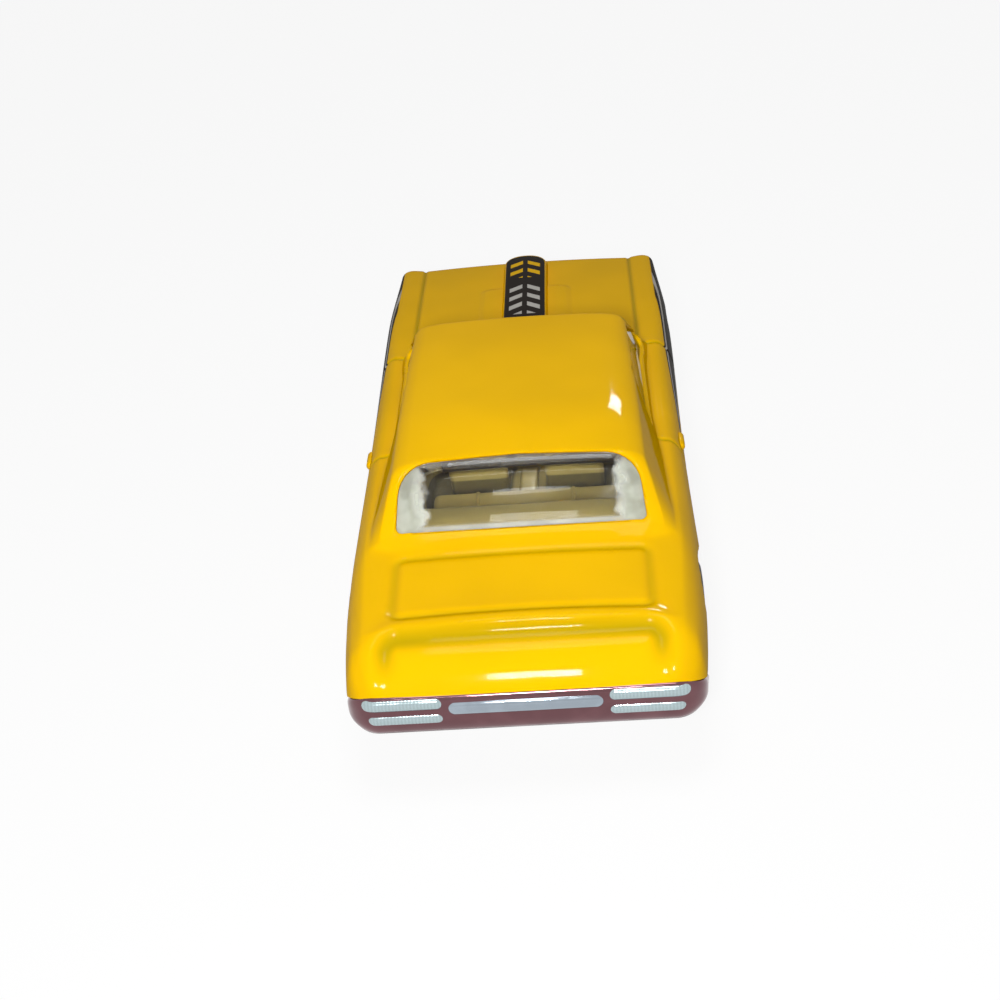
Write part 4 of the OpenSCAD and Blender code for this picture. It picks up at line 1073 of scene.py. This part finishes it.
def lamp_bar(name, path, side, z, ends, half):
    """A round-ended lamp let into a bumper, along its path between two distances from the middle."""
    xs = ends[0] + (ends[1] - ends[0]) * (1 - np.cos(np.linspace(0, math.pi, 42)[1:-1])) / 2
    order = np.argsort(path[:, 0])
    y, out_x, out_y = (np.interp(side * xs, path[order, 0], path[order, i]) for i in (1, 2, 3))
    near = np.minimum(xs - ends[0], ends[1] - xs)
    swell = np.sqrt(1 - (1 - np.clip(near / half, 0, 1)) ** 2)
    turn = np.linspace(0, 2 * math.pi, 24, endpoint=False)
    reach = LAMP_SUNK + LAMP_DEPTH * swell[:, None] * np.cos(turn)
    rings = np.stack((side * xs[:, None] + out_x[:, None] * reach, y[:, None] + out_y[:, None] * reach,
                      z + half * swell[:, None] * np.sin(turn)), 2)
    return tube(name, rings)


def bumper_bar(name, front, profile, height, fall=0.0):
    """A bar swept round an end of the car from (outward, z) points, its top falling along the sides."""
    out, up = np.array(profile).T
    low, tall = up.min(), np.ptp(up)
    rings = []
    for x, y, out_x, out_y in bumper_path(front, height):
        share = 1 - fall * (NOSE - abs(y)) / tall
        rings.append(np.stack((x + out_x * out, y + out_y * out, low + (up - low) * share), 1))
    return tube(name, np.array(rings))


class COUPE_OT_bumpers(bpy.types.Operator):
    """Model the plated bumpers with their lamps and the grille"""
    bl_idname = "coupe.bumpers"
    bl_label = "Bumpers and lamps"

    def execute(self, context):
        colours = context.scene.coupe_colours
        # The bumpers' plum colour is a painted reflection of purple surroundings.
        plated = plating("plum_reflection_plating", tuple(colours.plated))
        bright = lamp_lens("lamp_bars", tuple(colours.lamps))
        low, top = REAR_BUMPER_LOW, REAR_BUMPER_TOP
        profile = [(-1.2, top - 0.15), (-0.9, top), (-0.28, top), (-0.17, top - 0.04), (-0.08, top - 0.15),
                   (0.02, top - 0.4), (0.08, top - 0.75), (0.1, top - 1.1), (0.1, top - 2.0),
                   (0.08, top - 2.5), (0.0, top - 2.95), (-0.15, top - 3.35), (-0.35, low + 0.1),
                   (-0.55, low), (-0.9, low), (-1.2, low + 0.2)]
        bar = bumper_bar("tail_bumper", False, profile, BUMPER_LEVEL, REAR_BUMPER_FALL)
        finished(bar, plated, replaces="rear_bumper", angle=40)
        path = bumper_path(False, BUMPER_LEVEL)
        rows = ((top - 0.72, 13.0), (top - 2.1, 12.6))
        lamps = [lamp_bar("bar", path, side, z, (6.5, end), 0.54) for side in (-1, 1) for z, end in rows]
        finished(joined("tail_lamps", lamps), bright, angle=40)
        y, z, reach = -NOSE - BUMPER_PROUD + 0.33, top - 1.2, 5.5
        strip = capsule("tail_strip", (-reach, y, z), (reach, y, z), 0.64, 0.5)
        finished(strip, plating("bright_strip", (0.38, 0.44, 0.5)), angle=40)

        low, top = NOSE_BAR_LOW, NOSE_BAR_TOP
        profile = [(-1.2, top - 0.15), (-0.9, top), (-0.02, top), (0.14, top - 0.08), (0.23, top - 0.25),
                   (0.28, top - 0.6), (0.28, top - 1.2), (0.25, top - 1.6), (0.14, top - 1.95),
                   (-0.05, top - 2.2), (-0.3, low), (-0.9, low), (-1.2, low + 0.2)]
        back = NOSE - WALL - 1.2
        parts = [bumper_bar("nose_bar", True, profile, NOSE_BAR_LEVEL),
                 block("grille_back", (-11.6, back, 8.1), (11.6, back + 0.9, 10.6), 0.15)]
        for z in (8.92, 9.34, 9.76, 10.18):
            parts.append(capsule("slat", (-4.7, back + 1, z), (4.7, back + 1, z), 0.17))
        for side in (-1, 1):
            for z in (8.78, 10.32):
                parts.append(capsule("trim", (side * 5.4, back + 1, z), (side * 11, back + 1, z), 0.17))
        bezel = [(0, 0.64), (0, 0.85), (1.2, 0.85), (1.34, 0.82), (1.38, 0.75), (1.32, 0.68), (1.2, 0.64)]
        for x in HEADLAMPS_X:
            ring = spun("bezel", bezel, 40)
            ring.data.transform(Matrix.Translation(Vector((x, back + 0.8, HEADLAMP_Z)) * MM)
                                @ Matrix.Rotation(math.pi / 2, 4, "Z"))
            parts.append(ring)
        finished(joined("nose_bumper", parts), plated, replaces="front_bumper", angle=40)
        lenses = []
        for x in HEADLAMPS_X:
            lens = ball("lens", 0.66, 32, (math.pi / 2, 0, 0))
            points = np.array([v.co for v in lens.data.vertices]) / MM
            points[:, 1] *= 0.45
            put(lens, points + (x, back + 1.75, HEADLAMP_Z))
            lenses.append(lens)
        lamp_glass = lamp_lens("lamp_glass", (0.8, 0.82, 0.8))
        finished(joined("head_lamps", lenses), lamp_glass, angle=60)
        return {"FINISHED"}


def tyre_section(radius, width, rim, tread):
    """A tyre's closed section as (x, radius) points, x from the inside to the outside of the car."""
    w = width / 2
    groove_half, groove_edge, turn_radius = 0.11, 0.05, 0.7
    crown = []
    for share in (-0.5, 0.0, 0.5):
        low, high = share * w - groove_half, share * w + groove_half
        crown += [(low - groove_edge, radius), (low, radius - tread), (high, radius - tread),
                  (high + groove_edge, radius)]
    turn = [(w - turn_radius * (1 - math.sin(a)), radius - turn_radius * (1 - math.cos(a)))
            for a in np.linspace(0.15, 1.35, 6)]
    wall = [(w, radius - 0.85), (w - 0.02, rim + 0.75), (w - 0.12, rim + 0.48), (w - 0.4, rim + 0.36),
            (w - 0.42, rim)]
    right = turn + wall
    left = [(-x, r) for x, r in right[::-1]]
    return left + crown + right


def rim_section(width, rim, hub_in):
    """A rim's closed section: barrel, lip, face and hub."""
    w = width / 2
    bore, hub = 0.6, 1.3
    return [(hub_in, bore), (w - 0.7, bore), (w - 0.7, 1.05), (w - 0.76, 1.2), (w - 0.95, 1.35),
            (w - 0.98, 1.9), (w - 0.9, rim - 0.75), (w - 0.8, rim - 0.52), (w - 0.5, rim - 0.38),
            (w - 0.14, rim - 0.26), (w - 0.03, rim - 0.1), (w, rim + 0.06), (w, rim + 0.22),
            (w - 0.04, rim + 0.31), (w - 0.12, rim + 0.35), (w - 0.38, rim + 0.34), (w - 0.41, rim - 0.02),
            (-w + 0.41, rim - 0.02), (-w + 0.38, rim + 0.34), (-w + 0.08, rim + 0.34), (-w, rim + 0.26),
            (-w, rim - 0.34), (-w + 0.06, rim - 0.4), (w - 1.75, rim - 0.4), (w - 1.8, rim - 0.6),
            (w - 1.8, hub), (hub_in, hub)]


class COUPE_OT_wheels(bpy.types.Operator):
    """Model the four wheels, each a plated rim in a tyre"""
    bl_idname = "coupe.wheels"
    bl_label = "Wheels"

    def execute(self, context):
        colours = context.scene.coupe_colours
        rubber = tyre_rubber(colours)
        bright = plating("rim_plating", tuple(colours.rims))
        tread = context.scene.coupe_sizes.tread_depth / MM
        base_half, hub_gap, ground_gap = 9.2, 0.3, 0.01
        for end, y, radius, width, rim, track in (
                ("front", FRONT_Y, FRONT_TYRE, FRONT_WIDTH, 3.3, FRONT_TRACK),
                ("rear", REAR_Y, REAR_TYRE, REAR_WIDTH, 3.6, REAR_TRACK)):
            shift = track / 2 - width / 2
            tyre = spun(f"{end}_right_rubber", tyre_section(radius - ground_gap, width, rim, tread), 72)
            hub_in = width / 2 - (track / 2 - base_half - hub_gap)
            disc = spun(f"{end}_right_spokes", rim_section(width, rim, hub_in), 80)
            gap = ((1.72, -0.42), (rim - 0.95, -0.72), (rim - 0.95, 0.72), (1.72, 0.42))
            outline = round_outline(gap, (0.16, 0.2, 0.2, 0.16), steps=5)
            across = Matrix.Rotation(math.pi / 2, 4, "Y")
            for i in range(5):
                turn = Matrix.Rotation(math.radians(72 * i + 36), 4, "X")
                carve(disc, prism("gap", outline, turn @ across, width / 2 - 2.4, width / 2 + 0.6))
            softened(disc, 0.07, 2, 45)
            for side, word in ((1, "right"), (-1, "left")):
                here = Matrix.Translation(Vector((side * shift, y, radius)) * MM)
                if side < 0:
                    here = here @ Matrix.Rotation(math.pi, 4, "Z")
                body = f"{end}_{word}_wheel"
                for part, name, finish, slot, node in (
                        (tyre, "rubber", rubber, "tyre_rubber", "tyre"),
                        (disc, "spokes", bright, "rim_plating", "rim")):
                    piece = copied(part, f"{end}_{word}_{name}_piece")
                    piece.data.transform(here)
                    finished(piece, finish, body, f"{end}_{word}_{node}", 35)
            for part in (tyre, disc):
                bpy.data.objects.remove(part)
        return {"FINISHED"}


class COUPE_OT_metalwork(bpy.types.Operator):
    """Finish the base, the axle pins and the rivets"""
    bl_idname = "coupe.metalwork"
    bl_label = "Base, axles and rivets"

    def execute(self, context):
        colours = context.scene.coupe_colours
        cast = bare_metal("cast_base", tuple(colours.base), 0.32, 0.5)
        steel = bare_metal("drawn_steel", tuple(colours.steel), 0.16, 0.3)
        for finish, nodes in ((cast, ("base_plate",)),
                              (steel, ("front_axle", "rear_axle", "front_rivet", "rear_rivet"))):
            for node in nodes:
                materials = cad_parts[node].data.materials
                materials.clear()
                materials.append(finish)
        return {"FINISHED"}


def background_rays(tree):
    """One for the rays that show the background: from the camera, from gloss and through glass."""
    path = tree.nodes.new("ShaderNodeLightPath")
    value = path.outputs["Is Camera Ray"]
    for name in ("Is Glossy Ray", "Is Transmission Ray"):
        node = tree.nodes.new("ShaderNodeMath")
        node.operation = "MAXIMUM"
        tree.links.new(value, node.inputs[0])
        tree.links.new(path.outputs[name], node.inputs[1])
        value = node.outputs[0]
    return value


# The floor's grey where light falls on it and where it is seen, the share of it that glows where it is
# seen, and the world's strength likewise.
FLOOR_GREY, FLOOR_GLOW, WORLD_STRENGTH = (0.38, 0.9), 0.9, (0.18, 0.946)
# Each lamp: its place and aim in metres, its size and its power.
LAMPS = (("key", (0.0, -0.04, 0.17), (0, -0.015, 0.012), 0.06, 0.084),
         ("flash", (-0.005, -0.152, 0.098), (0, -0.02, 0.012), 0.02, 0.2),
         ("ahead", (0.085, 0.36, 0.253), (0, 0, 0.015), 0.044, 0.6))
GLOSS_LAMP = "ahead"  # puts a highlight on gloss and doesn't light matt surfaces
CAMERA_PLACE, CAMERA_LENS = (0.00687, -0.13409, 0.09336), 58.8
# The camera's right, up and backward directions.
CAMERA_AXES = ((0.99622, 0.01744, -0.08508), (0.06106, 0.55594, 0.82897), (0.06176, -0.83104, 0.55277))


class COUPE_OT_stage(bpy.types.Operator):
    """Set up the floor, the studio light and the camera"""
    bl_idname = "coupe.stage"
    bl_label = "Stage"

    def execute(self, context):
        scene = context.scene
        scene.view_settings.view_transform = "Standard"
        clear()
        bpy.ops.mesh.primitive_plane_add(size=6)
        floor = fresh("studio_floor")
        f = Finish("white_floor")
        seen = background_rays(f.tree)
        f.set(Base_Color=f.mix(seen, *((grey,) * 3 for grey in FLOOR_GREY)), Roughness=0.9)
        f.blend(f.times(seen, FLOOR_GLOW), f.tree.nodes.new("ShaderNodeEmission"))
        floor.data.materials.append(f.material)

        world = bpy.data.worlds.new("studio")
        scene.world = world
        world.use_nodes = True
        tree = world.node_tree
        sky = next(n for n in tree.nodes if n.type == "BACKGROUND")
        level = tree.nodes.new("ShaderNodeMapRange")
        for socket, strength in zip(("To Min", "To Max"), WORLD_STRENGTH):
            level.inputs[socket].default_value = strength
        tree.links.new(background_rays(tree), level.inputs["Value"])
        tree.links.new(level.outputs[0], sky.inputs["Strength"])
        sky.inputs["Color"].default_value = (1, 1, 1, 1)

        for name, place, aim, size, power in LAMPS:
            clear()
            bpy.ops.object.light_add(type="AREA", location=place)
            lamp = bpy.context.object
            lamp.name = name
            lamp.data.size = size
            lamp.data.energy = power
            lamp.visible_diffuse = name != GLOSS_LAMP
            lamp.rotation_euler = (Vector(aim) - Vector(place)).to_track_quat("-Z", "Y").to_euler()

        clear()
        bpy.ops.object.camera_add()
        camera = bpy.context.object
        turn = Matrix(CAMERA_AXES).transposed().to_4x4()
        camera.matrix_world = Matrix.Translation(CAMERA_PLACE) @ turn
        camera.data.sensor_width = 36
        camera.data.lens = CAMERA_LENS
        camera.data.clip_start = 0.005
        scene.camera = camera
        return {"FINISHED"}


PIECES = (COUPE_OT_shell, COUPE_OT_scoop, COUPE_OT_glazing, COUPE_OT_interior, COUPE_OT_bumpers,
          COUPE_OT_wheels, COUPE_OT_metalwork, COUPE_OT_stage)


class COUPE_PT_panel(bpy.types.Panel):
    """Sizes, colours and pieces of the coupe"""
    bl_label = "Die-cast coupe"
    bl_space_type = "VIEW_3D"
    bl_region_type = "UI"
    bl_category = "Coupe"

    def draw(self, context):
        for group in (context.scene.coupe_sizes, context.scene.coupe_colours):
            for name in group.__annotations__:
                self.layout.prop(group, name)
        for piece in PIECES:
            self.layout.operator(piece.bl_idname)


CLASSES = (CoupeSizes, CoupeColours, *PIECES, COUPE_PT_panel)


def register():
    for item in CLASSES:
        bpy.utils.register_class(item)
    bpy.types.Scene.coupe_sizes = bpy.props.PointerProperty(type=CoupeSizes)
    bpy.types.Scene.coupe_colours = bpy.props.PointerProperty(type=CoupeColours)


def unregister():
    del bpy.types.Scene.coupe_colours
    del bpy.types.Scene.coupe_sizes
    for item in reversed(CLASSES):
        bpy.utils.unregister_class(item)


def main():
    register()
    for piece in PIECES:
        group, name = piece.bl_idname.split(".")
        getattr(getattr(bpy.ops, group), name)()


if __name__ == "__main__":
    main()
